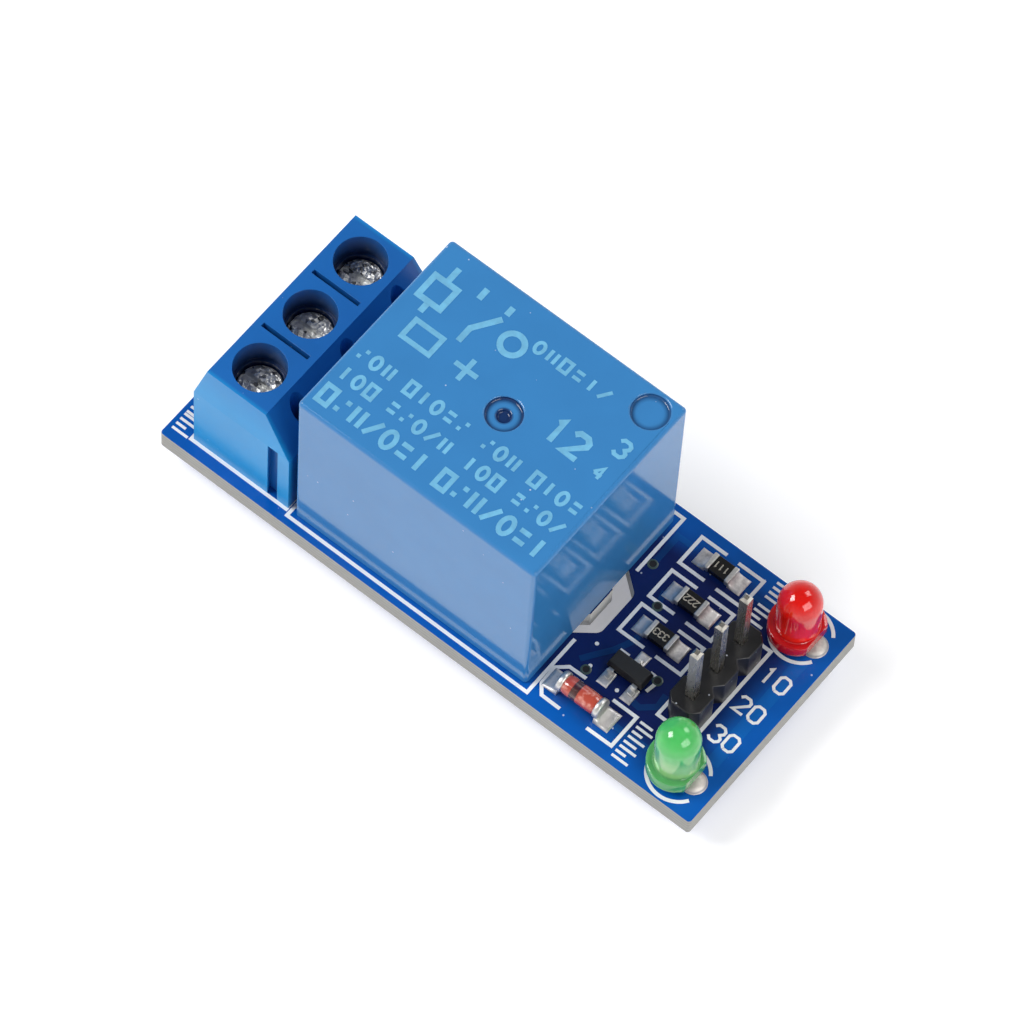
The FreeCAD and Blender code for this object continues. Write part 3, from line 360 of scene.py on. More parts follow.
def feed(tree, shader, recipe, depth, height=None, dust=0.0, dust_scale=2400.0):
    """Links a recipe to a shader: colour, dust if wanted, roughness, and relief of a depth in mm."""
    colour = recipe.outputs["Colour"]
    if dust:
        colour = use(tree, DUST, Colour=colour, Scale=dust_scale, Amount=dust).outputs["Colour"]
    relief = add(tree, "ShaderNodeBump", in_Strength=1.0, in_Distance=depth * MM,
                 in_Height=recipe.outputs["Height"] if height is None else height)
    give(tree, shader, Base_Color=colour, Roughness=recipe.outputs["Roughness"], Normal=relief.outputs[0])


def grained(name, colour, roughness=0.3, shade=0.25, patch=260, grain=9000, depth=0.004, dust=0.0,
            dust_scale=2400.0, spread=0.12, **sockets):
    """Plastic, ceramic, lacquer or ink: cloudy colour, a fine grain and, if wanted, dust."""
    material, tree, shader = principled(name, **sockets)
    g = use(tree, GRAIN, Colour=colour(tree) if callable(colour) else colour, Shade=shade,
            Patch_scale=patch, Grain_scale=grain, Roughness=roughness, Spread=spread)
    feed(tree, shader, g, depth, dust=dust, dust_scale=dust_scale)
    return material


# %% Tints of the terminal block and the relay, with painted light and shade
WELL = 1.8
GATE_SHIFT, GATE_HOLE, VENT_INSET, DIMPLE = 0.9, 0.5, 1.7, 1.25


def from_axis(tree, place, x, y):
    """Distance from an upright axis at x, y, in metres: the length of (X - x, Y - y, 0)."""
    flat = add(tree, "ShaderNodeMapping", vector_type="POINT", in_Vector=place,
               in_Location=(-x * MM, -y * MM, 0), in_Scale=(1, 1, 0))
    return add(tree, "ShaderNodeVectorMath", operation="LENGTH", in_0=flat.outputs[0]).outputs["Value"]


def terminal_blue_painted_light_and_shade(tree):
    """Terminal blue with painted light and shade: paler on the two end walls, and darker deep down the
    wells.
    """
    place, _, y, z = object_place(tree)
    low, high = box_mm("terminal_housing")
    reach = -low[1]
    # Painted light: the end walls at either end along Y are painted paler.
    end = rise(tree, maths(tree, "ABSOLUTE", y), reach - 0.5, reach - 0.05)
    colour = mix_colour(tree, end, srgb(24, 98, 172), srgb(24, 144, 208))
    # Painted shade: near-black deep down inside each well, below the top.
    depth = fall(tree, z, high[2] - 2.2, high[2] - 0.15, 0.92)
    inside = 0.0
    for i in (1, 2, 3):
        span = from_axis(tree, place, *middle_mm(f"terminal_screw_{i}")[:2])
        inside = maths(tree, "MAXIMUM", inside, fall(tree, span, WELL + 0.08, WELL + 0.15))
    return mix_colour(tree, times(tree, inside, depth), colour, srgb(2, 10, 44))


def shaded_dimples(tree):
    """Relay blue, with painted shade darkening the walls of the two marks in the roof and the gate's
    middle.
    """
    place, _, _, z = object_place(tree)
    high = box_mm("relay_cover")[1]
    gate = (middle_mm("relay_cover")[0] + GATE_SHIFT, 0.0, GATE_HOLE, 0.9)
    vent = (high[0] - VENT_INSET, high[1] - VENT_INSET, 0.0, 0.6)
    below = fall(tree, z, high[2] - 0.12, high[2] - 0.04)
    colour = srgb(54, 122, 180)
    # Painted shade: each mark's wall, and the gate's hole, are painted dark just under the roof.
    for x, y, hole, depth in (gate, vent):
        span = from_axis(tree, place, x, y)
        wall = times(tree, rise(tree, span, DIMPLE - 0.45, DIMPLE, smooth=True),
                     fall(tree, span, DIMPLE + 0.15, DIMPLE + 0.25))
        if hole:
            wall = maths(tree, "MAXIMUM", wall, fall(tree, span, hole, hole + 0.15))
        colour = mix_colour(tree, times(tree, wall, below, depth), colour, srgb(8, 26, 78))
    return colour


# %% Metals, and the first finishes
def metal(name, colour, roughness=0.25, scale=9000, depth=0.002, wear=0.35):
    """Drawn or plated metal: streaked colour and roughness."""
    material, tree, shader = principled(name, Metallic=1.0)
    g = use(tree, STREAKS, Colour=colour, Scale=scale, Wear=wear, Roughness=roughness)
    feed(tree, shader, g, depth)
    return material


def spotted_steel(tree):
    """Rough plating: bright metal with dull dark spots, a few of the cells of a Voronoi pattern."""
    few = stretch(tree, cells(tree, 3600.0)[1], 0.76, 0.95, 0.0, 0.85)
    return mix_colour(tree, few, srgb(250, 250, 246), srgb(70, 72, 76))


FINISH = {
    "terminal_blue": grained("terminal plastic", terminal_blue_painted_light_and_shade, 0.3, dust=0.03, shade=0.15, spread=0.06,
                             depth=0.0015, Specular_IOR_Level=0.35),
    "relay_blue": grained("relay plastic", shaded_dimples, 0.11, dust=0.02, shade=0.12, spread=0.03,
                          depth=0.0008),
    "relay_base_plastic": grained("relay base plastic", srgb(25, 60, 130), 0.4),
    "bobbin_plastic": grained("bobbin plastic", srgb(225, 220, 205), 0.4),
    "header_black": grained("header plastic", srgb(26, 26, 28), 0.32, shade=0.4, grain=5000, dust=0.10),
    "package_black": grained("package resin", srgb(22, 22, 23), 0.5, shade=0.3, grain=12000),
    "chip_ceramic": grained("chip glaze", srgb(24, 24, 24), 0.25, shade=0.3),
    "zinc_plated_iron": metal("zinc plated iron", srgb(190, 190, 195), 0.3),
    "enamelled_wire": metal("enamelled wire", srgb(178, 84, 38), 0.3, scale=4000),
    "tinned_metal": metal("tinned metal", srgb(218, 216, 212), 0.40, scale=6000, wear=0.5),
    "spring_copper": metal("spring copper", srgb(215, 150, 100), 0.3),
    "silver_contact": metal("silver contact", srgb(225, 222, 215), 0.22),
    "plated_brass": metal("plated brass", srgb(205, 195, 165), 0.3),
    "gold_plated_pin": metal("header pin plating", srgb(198, 194, 184), 0.25, scale=3000, wear=0.6),
    "solder": metal("solder", srgb(218, 214, 212), 0.46, scale=900, depth=0.012, wear=1.0),
    "screw_steel": grained("screw steel", spotted_steel, 0.48, patch=1600, grain=4000, depth=0.02,
                           spread=0.4, Metallic=1.0),
    "dull solder": metal("dull solder", srgb(206, 200, 194), 0.55, scale=500, depth=0.03, wear=1.0),
}
print(len(FINISH), "finishes from the recipes")

# %% [markdown]
# ## The lacquered board
#
# The board is glass cloth in resin, pale grey at its sawn edge, under a blue lacquer.
# Where copper lies close under the lacquer it looks darker, and towards the rim, where there is no
# copper, it is a clearer blue. The finish works that out from the place on the board: the distance
# outside a rectangle, softened over a millimetre or two. The edge has a finish of its own.

# %% Lacquer, bare edge, copper under lacquer, white print
COPPER_X, COPPER_HALF_X, COPPER_HALF_Y = 12.8, 5.2, 5.4
# The box round the slot where its edge is painted paler as painted light.
SLOT_X, SLOT_REACH_X, SLOT_REACH_Y = 6.0, 5.0, 6.5


def off_middle(tree, value, middle):
    """Distance of a coordinate from a middle given in millimetres."""
    return maths(tree, "ABSOLUTE", maths(tree, "SUBTRACT", value, middle * MM))


def lacquer(name, deep, clear):
    """Dark over the top copper, clearer towards the rim: blend by distance outside a rectangle."""
    def tint(tree):
        place, x, y, z = object_place(tree)
        far = maths(tree, "MAXIMUM",
                    maths(tree, "SUBTRACT", off_middle(tree, x, COPPER_X), COPPER_HALF_X * MM),
                    maths(tree, "SUBTRACT", off_middle(tree, y, 0.0), COPPER_HALF_Y * MM))
        swing = times(tree, maths(tree, "SUBTRACT", noise(tree, place, 420.0, 2.0), 0.5), 1.6 * MM)
        rim = rise(tree, maths(tree, "ADD", far, swing), 0.2, 2.6, smooth=True)
        under = fall(tree, z, BOARD_BOTTOM + 0.2, BOARD_BOTTOM + 0.6, 0.8)
        return mix_colour(tree, maths(tree, "MAXIMUM", rim, under), deep, clear)

    return grained(name, tint, 0.2, patch=350, grain=3000, dust=0.05, dust_scale=2000.0, IOR=1.45,
                   Specular_IOR_Level=0.35)


def sawn_edge():
    """Resin with the layers of glass cloth as faint level lines, and painted light making the edge paler
    in the milled slot.
    """
    material, tree, shader = principled("sawn board edge")
    place, x, y, _ = object_place(tree)
    layers = add(tree, "ShaderNodeTexWave", wave_type="BANDS", bands_direction="Z", in_Vector=place,
                 in_Scale=900.0, in_Distortion=1.5, in_Detail=2.0).outputs["Fac"]
    colour = mix_colour(tree, stretch(tree, layers, 0, 1, 0.0, 0.5), srgb(164, 163, 158),
                        srgb(132, 131, 127))
    # Painted light: the slot's edge lies in the relay's shadow, so it is painted paler here.
    painted_light_in_slot = times(tree, fall(tree, off_middle(tree, x, SLOT_X), SLOT_REACH_X, SLOT_REACH_X + 1),
                  fall(tree, off_middle(tree, y, 0.0), SLOT_REACH_Y, SLOT_REACH_Y + 1))
    colour = mix_colour(tree, painted_light_in_slot, colour, srgb(226, 224, 218))
    g = use(tree, GRAIN, Colour=colour, Shade=0.2, Patch_scale=300.0, Grain_scale=6000.0, Roughness=0.6,
            Spread=0.2)
    feed(tree, shader, g, 0.02, height=layers)
    return material


FINISH["solder_mask_blue"] = lacquer("blue lacquer", srgb(12, 31, 90), srgb(6, 86, 172))
FINISH["track"] = lacquer("lacquer over copper", srgb(10, 52, 108), srgb(10, 94, 176))
FINISH["sawn edge"] = sawn_edge()
FINISH["white print"] = grained("white print", srgb(230, 232, 234), 0.5, shade=0.12, patch=900)
FINISH["relay print"] = grained("relay print", srgb(104, 174, 210), 0.45, shade=0.45, patch=1400)
FINISH["chip print"] = grained("chip print", srgb(190, 182, 165), 0.5, shade=0.3, patch=2000)
FINISH["via copper"] = grained("lacquered via", srgb(58, 78, 74), 0.3)
# Painted shade: a near-black disc stands in for the shade down each via's hole.
FINISH["via hole painted shade"] = grained("via hole painted shade", srgb(6, 8, 16), 0.7)
print("board finishes ready")

# %% [markdown]
# ## Coloured lenses and the glass diode
#
# The lights are cast in tinted resin that scatters a little, so the dome glows with its own colour
# and the metal frame inside is only a hint. A clear body would show too much of it, and an opaque one
# would look like paint. The way between is a share of transmission and a share of scattering below
# the surface, under a smooth skin. The diode's glass is coloured by what is inside it, so its barrel
# gets a dark band at a place along its own axis.

# %% Lens and glass finishes
BAND_SHARE, BAND_HALF = 0.36, 0.22


def lens_finish(name, dome, barrel, foot, through):
    """Tinted resin with painted light and shade: one colour in the dome, painted paler low in the barrel,
    painted deeper in the foot.
    """
    def tint(tree):
        z = object_place(tree)[3]
        # Painted light and shade by height over one resin: the barrel paler, the foot deeper.
        up = rise(tree, z, BOARD_TOP + 2.6, BOARD_TOP + 4.2, smooth=True)
        low = rise(tree, z, BOARD_TOP + 1.3, BOARD_TOP + 1.8, smooth=True)
        return mix_colour(tree, low, foot, mix_colour(tree, up, barrel, dome))

    return grained(name, tint, 0.09, shade=0.3, patch=600, grain=4000, depth=0.001, spread=0.04, IOR=1.5,
                   Transmission_Weight=through, Coat_Weight=0.4, Coat_Roughness=0.02,
                   Subsurface_Weight=0.4, Subsurface_Scale=1.5 * MM, Subsurface_Radius=(1.0, 0.8, 0.6))


def diode_finish():
    """Orange glass with a dark band by the place along X, and pale streaks from a noise that are painted
    highlights.
    """
    material, tree, shader = principled("diode glass", IOR=1.5, Coat_Weight=1.0, Coat_Roughness=0.03)
    place, x, _, _ = object_place(tree)
    low, high = box_mm("diode_glass")
    band = fall(tree, off_middle(tree, x, low[0] + BAND_SHARE * (high[0] - low[0])), BAND_HALF,
                BAND_HALF + 0.08, 0.9)
    # Painted highlights: pale streaks on the glass.
    streaks = noise(tree, place, 1800.0, 3.0)
    colour = mix_colour(tree, stretch(tree, streaks, 0.52, 0.72), srgb(178, 70, 52), srgb(228, 158, 142))
    colour = mix_colour(tree, band, colour, srgb(24, 14, 20))
    give(tree, shader, Base_Color=colour, Roughness=stretch(tree, streaks, 0, 1, 0.1, 0.25))
    return material


FINISH["red_lens"] = lens_finish("red lens", srgb(218, 15, 6), srgb(244, 38, 25), srgb(200, 14, 25), 0.08)
FINISH["green_lens"] = lens_finish("green lens", srgb(92, 216, 114), srgb(172, 234, 156),
                                   srgb(88, 184, 108), 0.35)
FINISH["diode_glass"] = diode_finish()
print(len(FINISH), "finishes in all")

# %% [markdown]
# ## Three ways to make a surface
#
# Almost every new piece below is one of these: a grid of points that is a function of two numbers, a
# profile turned round an upright axis, or a profile carried along a path in the plane of the board.
# All three are worked out as whole arrays. A closed mesh comes from wrapping the grid or capping it.

# %% A mesh as a piece of the board
pieces = {}


def dress(name, data, slot, finish=None, body="board", smooth=35):
    """Turns a finished mesh into an object on its body, with its finish and its smooth shading."""
    data.shade_smooth()
    data.set_sharp_from_angle(angle=math.radians(smooth))
    data.materials.clear()
    data.materials.append(FINISH[finish or slot])
    thing = new_object(name, data)
    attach(thing, body)
    pieces[name] = thing
    return thing


def piece(name, mesh, slot, finish=None, body="board", smooth=35, instead_of=None):
    """A mesh, (points in millimetres, faces), as a piece that may stand in for a plain solid."""
    points, faces = mesh
    data = bpy.data.meshes.new(name)
    data.from_pydata((np.asarray(points, float).reshape(-1, 3) * MM).tolist(), [],
                     [list(map(int, f)) for f in faces])
    bm = bmesh.new()
    bm.from_mesh(data)
    bmesh.ops.remove_doubles(bm, verts=bm.verts, dist=1e-7)
    bmesh.ops.recalc_face_normals(bm, faces=bm.faces)
    bm.to_mesh(data)
    bm.free()
    thing = dress(name, data, slot, finish, body, smooth)
    if instead_of:
        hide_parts(instead_of)
    return thing


# %% Grid, turned profile, profile along a path
def grid_faces(n, m, wrap_n=False, wrap_m=False):
    """Quads of a grid of n by m points, wrapped in either direction if asked."""
    i = np.arange(n if wrap_n else n - 1)[:, None]
    j = np.arange(m if wrap_m else m - 1)[None, :]
    i2, j2 = (i + 1) % n, (j + 1) % m
    corners = [i * m + j, i2 * m + j, i2 * m + j2, i * m + j2]
    return np.stack(np.broadcast_arrays(*corners), -1).reshape(-1, 4)


def circle(steps):
    """Angles all the way round, as a column."""
    return np.linspace(0, 2 * np.pi, steps, endpoint=False)[:, None]


def around(x, y, r, a, z):
    """Points about an upright axis at x, y: (x + r cos a, y + r sin a, z)."""
    return np.stack(np.broadcast_arrays(x + r * np.cos(a), y + r * np.sin(a), z), -1)


def turned(profile, x, y, steps):
    """A closed profile of (radius, z) turned about the axis at x, y."""
    r, z = np.asarray(profile, float).T
    return around(x, y, r, circle(steps), z).reshape(-1, 3), grid_faces(steps, len(r), True, True)


def unit(v):
    """Rows of vectors, each divided by its length."""
    return v / np.linalg.norm(v, axis=1, keepdims=True)


def carried(path, width, z0, z1, closed=False):
    """A flat band along a path: each point moves sideways by half the width along the mitred normal."""
    p = np.asarray(path, float)
    if closed:
        before, after = np.roll(p, 1, 0), np.roll(p, -1, 0)
    else:
        before = np.vstack([2 * p[0] - p[1], p[:-1]])
        after = np.vstack([p[1:], 2 * p[-1] - p[-2]])
    a, b = unit(p - before), unit(after - p)
    side = unit(np.stack([-(a + b)[:, 1], (a + b)[:, 0]], 1))
    reach = 1.0 / np.maximum(0.5, np.abs(side[:, 0] * -a[:, 1] + side[:, 1] * a[:, 0]))[:, None]
    corners = ((-0.5, z1), (0.5, z1), (0.5, z0), (-0.5, z0))
    ring = np.stack([np.column_stack([p + side * reach * width * s, np.full(len(p), z)])
                     for s, z in corners], 1)
    n, m = ring.shape[:2]
    faces = grid_faces(n, m, closed, True).tolist()
    if not closed:
        faces += [list(range(m)), list(range((n - 1) * m, n * m))]
    return ring.reshape(-1, 3), faces


def joined(parts, step=0.0):
    """Several (points, faces) as one; a step lifts each of five in turn, so that no tops coincide."""
    points, faces, start = [], [], 0
    for k, (p, f) in enumerate(parts):
        p = np.asarray(p, float).reshape(-1, 3) + (0, 0, step * (k % 5))
        points.append(p)
        faces += [[int(i) + start for i in face] for face in f]
        start += len(p)
    return np.concatenate(points), faces


def arc(x, y, r, a0, a1, steps=24):
    """Points on a circle from angle a0 to a1, in degrees."""
    a = np.radians(np.linspace(a0, a1, steps))
    return np.stack([x + r * np.cos(a), y + r * np.sin(a)], 1)


def rectangle(x0, y0, x1, y1):
    """The four corners of a rectangle, in turn."""
    return [(x0, y0), (x1, y0), (x1, y1), (x0, y1)]


HAIR = 0.001
print("grid, turned and carried surfaces ready")

# %% [markdown]
# ## Moulded parts with softened edges
#
# A moulded or cut edge is never perfectly sharp: it is rounded by a tenth of a millimetre or so, and
# that thin bright line is what makes it look real. These bodies already have the right shape, so a
# copy is enough. Its loose triangles are merged, the flat ones are joined again into whole faces, and
# a Bevel rounds the edges that are sharper than 30 degrees.

# %% Softened copies
ROUND_OVER = 30


def softened(node, slot, width):
    """Copy of a solid with merged, dissolved faces and a live Bevel of this width in millimetres."""
    data = nodes[node].data.copy()
    bm = bmesh.new()
    bm.from_mesh(data)
    bmesh.ops.remove_doubles(bm, verts=bm.verts, dist=2e-7)
    bmesh.ops.dissolve_limit(bm, angle_limit=math.radians(0.5), verts=bm.verts, edges=bm.edges)
    bm.to_mesh(data)
    bm.free()
    thing = dress(node + "_soft", data, slot, smooth=ROUND_OVER)
    bevel = thing.modifiers.new("round edges", "BEVEL")
    bevel.width, bevel.segments = width * MM, 2
    bevel.limit_method, bevel.angle_limit = "ANGLE", math.radians(ROUND_OVER)
    flat = thing.modifiers.new("flat faces stay flat", "WEIGHTED_NORMAL")
    flat.keep_sharp, flat.weight = True, 100
    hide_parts(node)


SOFT_EDGES = [("terminal_housing", "terminal_blue", 0.12), ("relay_cover", "relay_blue", 0.10),
              ("header_body", "header_black", 0.07), ("transistor_body", "package_black", 0.05),
              *[(f"resistor_{i}", "chip_ceramic", 0.03) for i in (1, 2, 3)],
              ("resistor_ends", "tinned_metal", 0.06), ("transistor_leads", "tinned_metal", 0.03),
              ("circuit_board", "solder_mask_blue", 0.05)]
for row in SOFT_EDGES:
    softened(*row)
print(len(pieces), "softened copies")

# %% The board's edge gets the bare finish
def finish_edges(thing, finish):
    """Faces whose normal is level get a second finish: those of the sawn edge and the milled slot."""
    data = thing.data
    data.materials.append(FINISH[finish])
    normals = np.zeros((len(data.polygons), 3), np.float32)
    data.polygons.foreach_get("normal", normals.ravel())
    level = np.abs(normals[:, 2]) < 0.5
    data.polygons.foreach_set("material_index", level.astype(np.int32))
    data.update()
    return int(level.sum())


print(finish_edges(pieces["circuit_board_soft"], "sawn edge"), "faces of bare edge")

# %% [markdown]
# ## Tracks and vias
#
# Copper tracks lie under the lacquer, so they show as low ridges of a greener, lighter blue. They are
# bands carried along a path, a few hundredths of a millimetre high. On the soldering side the three
# mains tracks are wide, because they carry the load, and the control tracks are thin. They end at the
# pins, and the solder and the print stand round the parts, so those places are read off the solids
# first. The rows of pins mirror each other about the middle, so one pin of each pair is enough.

# %% Where the pins and the small parts stand
def place_of(name):
    """X and Y of the middle of a solid, to a hundredth of a millimetre."""
    return tuple(middle_mm(name)[:2].round(2))


TERMINAL_X, POLE_Y = place_of("terminal_screw_3")
CONTACT_X, COMMON_X = place_of("normally_open_contact")[0], place_of("common_pin")[0]
COIL_X, ROW_Y = place_of("coil_pin_2")
HEADER_X, PIN_Y = place_of("header_pin_3")
LIGHT_X, LIGHT_Y = place_of("red_led_leads")
CHIP_X, CHIP_ROWS = place_of("resistor_1")[0], [place_of(f"resistor_{i}")[1] for i in (1, 2, 3)]
print("terminals, contacts, coil and common pin at X", TERMINAL_X, CONTACT_X, COIL_X, COMMON_X)


# %% Tracks on both faces
def tracks(name, paths, z0, z1):
    """All the tracks of one face as one piece; each path is (width, points)."""
    bands = [carried(points, width, z0, z1) for width, points in paths]
    piece(name, joined(bands, HAIR), "solder_mask_blue", "track")


TOP_TRACKS = [
    (0.95, [(20.45, 4.9), (20.45, -4.6)]),
    (0.45, [(9.3, -4.1), (9.9, -3.2), (10.6, -2.2), (11.2, -0.9), (11.3, 0.3)]),
    (0.45, [(13.6, -4.3), (14.4, -4.4), (15.3, -3.6), (15.2, -2.6)]),
    (0.45, [(8.7, 4.3), (8.7, 6.9), (10.2, 6.9)]),
    (0.40, [(14.4, 6.6), (16.3, 6.6), (17.5, 6.4)]),
    (0.40, [(14.3, 3.5), (15.6, 3.0), (17.0, 2.6)]),
    (0.40, [(10.8, 2.1), (10.5, 3.2)]),
    (0.45, [(13.4, -6.4), (15.4, -6.4), (17.4, -6.3)]),
]
BOTTOM_TRACKS = [
    (2.6, [(TERMINAL_X, -POLE_Y), (-13.0, -ROW_Y), (CONTACT_X, -ROW_Y)]),
    (2.6, [(TERMINAL_X, POLE_Y), (-13.0, ROW_Y), (CONTACT_X, ROW_Y)]),
    (2.2, [(TERMINAL_X, 0), (COMMON_X, 0)]),
    (0.6, [(COIL_X, ROW_Y), (8.7, 6.4), (8.7, 4.3)]),
    (0.6, [(COIL_X, -ROW_Y), (8.6, -ROW_Y), (10.1, -4.4)]),
    (0.6, [(17.1, 2.54), (17.6, 6.3)]),
    (0.6, [(17.1, -2.54), (17.6, -6.3)]),
    (0.6, [(17.1, 0), (14.1, -2.15)]),
    (0.6, [(20.1, 6.3), (20.9, 5.2), (20.9, -5.2), (20.1, -6.3)]),
]
tracks("tracks_top", TOP_TRACKS, BOARD_TOP - 0.01, BOARD_TOP + 0.015)
tracks("tracks_bottom", BOTTOM_TRACKS, BOARD_BOTTOM - 0.03, BOARD_BOTTOM + 0.01)
print(len(TOP_TRACKS), "tracks on top and", len(BOTTOM_TRACKS), "below")


# %% Vias
VIAS = [(8.69, 4.27), (10.82, 2.06), (10.09, -4.44), (14.14, -2.15)]
VIA_HOLE, VIA_RIM, DISC_STEPS = 0.2, 0.4, 28


def flat_ring(x, y, r0, r1, z0, z1):
    """A washer: a low rounded profile from the inner to the outer radius."""
    m = (z0 + z1) / 2
    return turned([(r0, z0), (r0, m), (r0 + 0.05, z1), (r1 - 0.08, z1), (r1, z0)], x, y, DISC_STEPS)


def disc(x, y, r, z0, z1):
    """A thin round plate."""
    return turned([(0, z0), (r, z0), (r, z1), (0, z1)], x, y, DISC_STEPS)


for face, z, up in (("top", BOARD_TOP, 1), ("bottom", BOARD_BOTTOM, -1)):
    rings = [flat_ring(x, y, VIA_HOLE, VIA_RIM, z - 0.01 * up, z + 0.035 * up) for x, y in VIAS]
    # Painted shade: dark discs over the vias.
    via_shade_discs = [disc(x, y, VIA_HOLE + 0.05, z - 0.01 * up, z + 0.03 * up) for x, y in VIAS]
    piece(f"via_rings_{face}", joined(rings), "solder_mask_blue", "via copper")
    piece(f"via_holes_{face}", joined(via_shade_discs), "solder_mask_blue", "via hole painted shade")
print(len(VIAS), "vias on each face")

# %% [markdown]
# ## The white print
#
# The outlines of the parts are printed on the board in white ink. They are lines of one width, so
# each is a path, and a band is carried along it. Plain numbers beside the header are made in the
# same way, from strokes on a small grid, as such marks are drawn by the machine that prints them.

# %% Numbers as strokes
DIGIT_WIDE, DIGIT_HIGH = 4, 6
STROKES = {
    "0": [[(1, 0), (0, 1), (0, 5), (1, 6), (3, 6), (4, 5), (4, 1), (3, 0), (1, 0)]],
    "1": [[(1, 5), (2, 6), (2, 0)]],
    "2": [[(0, 5), (1, 6), (3, 6), (4, 5), (4, 4), (0, 0), (4, 0)]],
    "3": [[(0, 5), (1, 6), (3, 6), (4, 5), (4, 4), (3, 3), (4, 2), (4, 1), (3, 0), (1, 0), (0, 1)]],
    "4": [[(3, 0), (3, 6), (0, 2)], [(0.3, 2), (4, 2)]],
}


def number(text, x, y, height, width, z0, z1, along=(1, 0), gap=1.6):
    """Digits that start at x, y and read along a direction; each stroke is a carried band."""
    u = np.array(along, float)
    v = np.array([-u[1], u[0]])
    size = height / DIGIT_HIGH
    parts = []
    for i, digit in enumerate(text):
        for stroke in STROKES[digit]:
            p = np.array(stroke, float)
            p[:, 0] += i * (DIGIT_WIDE + gap)
            parts.append(carried(np.array([x, y]) + size * (p[:, :1] * u + p[:, 1:] * v), width, z0, z1))
    return parts


# %% Outlines, arcs, header numbers and groups of short bars
INK = (BOARD_TOP - 0.005, BOARD_TOP + 0.02)
LINE, DIGIT_LINE, BAR_LINE, DOT = 0.25, 0.2, 0.19, 0.14
BAR_GROUPS = [(15.7, 5.1), (15.7, 7.1), (15.1, -8.1), (15.1, -6.4), (-21.6, -7.9), (-21.6, -6.4)]
BARS = [(0.0, 1.3), (0.42, 0.8), (0.84, 1.3), (1.26, 1.0)]


def silk_lines():
    """Every outline as (points, closed)."""
    boxes = [rectangle(-20.07, -7.82, -12.05, 7.82), rectangle(15.62, -4.02, 18.46, 4.16)]
    lines = [[(8.2, 3.2), (8.2, 8.14), (-11.73, 8.14), (-11.73, -8.14), (8.2, -8.14), (8.2, -3.2)], *boxes,
             [(10.51, -4.94), (9.17, -4.97), (8.45, -5.61), (8.49, -7.0), (9.04, -7.69), (10.55, -7.71)],
             [(12.78, -5.04), (14.73, -5.04), (14.73, -7.66), (12.71, -7.68)],
             [(10.89, -1.92), (11.64, -1.92)], [(13.41, -1.97), (14.24, -2.03), (14.04, -3.2)]]
    for y in CHIP_ROWS:
        for near, far in ((12.0, 9.93), (12.93, 15.0)):
            lines.append([(near, y + 1.2), (far, y + 1.2), (far, y - 1.2), (near, y - 1.2)])
    lines += [arc(LIGHT_X + 0.35, (LIGHT_Y + 0.1) * side, 2.07, 33, 327, 60) for side in (-1, 1)]
    return [(points, any(points is box for box in boxes)) for points in lines]


ink = [carried(points, LINE, *INK, closed=closed) for points, closed in silk_lines()]
ink += [disc(x, y, DOT, *INK) for x, y in ((12.55, -4.34), (9.49, -2.54), (10.14, -4.06))]
for text, y in (("10", 2.1), ("20", -0.6), ("30", -3.25)):
    ink += number(text, 19.0, y, 1.2, DIGIT_LINE, *INK)
for x, y in BAR_GROUPS:
    ink += [carried([(x, y + up), (x + long, y + up)], BAR_LINE, *INK) for up, long in BARS]
piece("white_print", joined(ink, HAIR), "solder_mask_blue", "white print")
print(len(ink), "printed marks")

# %% [markdown]
# ## The print on the relay
#
# The relay's roof carries rows of small pale print. Here they are rows of plain marks that say
# nothing: bars, boxes, rings and short steps, each drawn in a box of its own and repeated in turn. A
# plain diagram of a coil and its change-over contact and three numbers stand above them. All of it is
# a thin film of ink that follows the roof.

# %% Rows of marks, diagram and numbers on the roof
ROOF = box_mm("relay_cover")[1][2]
FILM = (ROOF - 0.01, ROOF + 0.012)
ROW_START, ROW_END = -10.7, 7.2
MARK_GAP, SPACE = 0.45, 0.3
DIAGRAM_LINE, SIGN_LINE = 0.42, 0.36
MARKS = [[(0.5, 0, 0.5, 1)], [(0.1, 0, 0.1, 1), (0.9, 0, 0.9, 1)], [(0, 0.2, 1, 0.2), (0, 0.8, 1, 0.8)],
         [(0, 0, 1, 1)], [(0, 0.2, 0.45, 0.2), (0.55, 0.8, 1, 0.8)], "ring", "box"]


def marks(x0, x1, y, high, wide, line, order):
    """A row of plain marks from x0 to x1; order picks them in turn, and None leaves a space."""
    parts, x, i = [], x0, 0
    while x + wide <= x1:
        kind = order[i % len(order)]
        shape = [] if kind is None else MARKS[kind]
        if shape == "ring":
            path = arc(0, 0, 1, 0, 345, 20) * (wide / 2, high / 2) + (x + wide / 2, y + high / 2)
            parts.append(carried(path, line, *FILM, closed=True))
        elif shape == "box":
            parts.append(carried(rectangle(x, y, x + wide, y + high), line, *FILM, closed=True))
        else:
            parts += [carried([(x + a * wide, y + b * high), (x + c * wide, y + d * high)], line, *FILM)
                      for a, b, c, d in shape]
        x += (SPACE if kind is None else wide) + MARK_GAP
        i += 1
    return parts


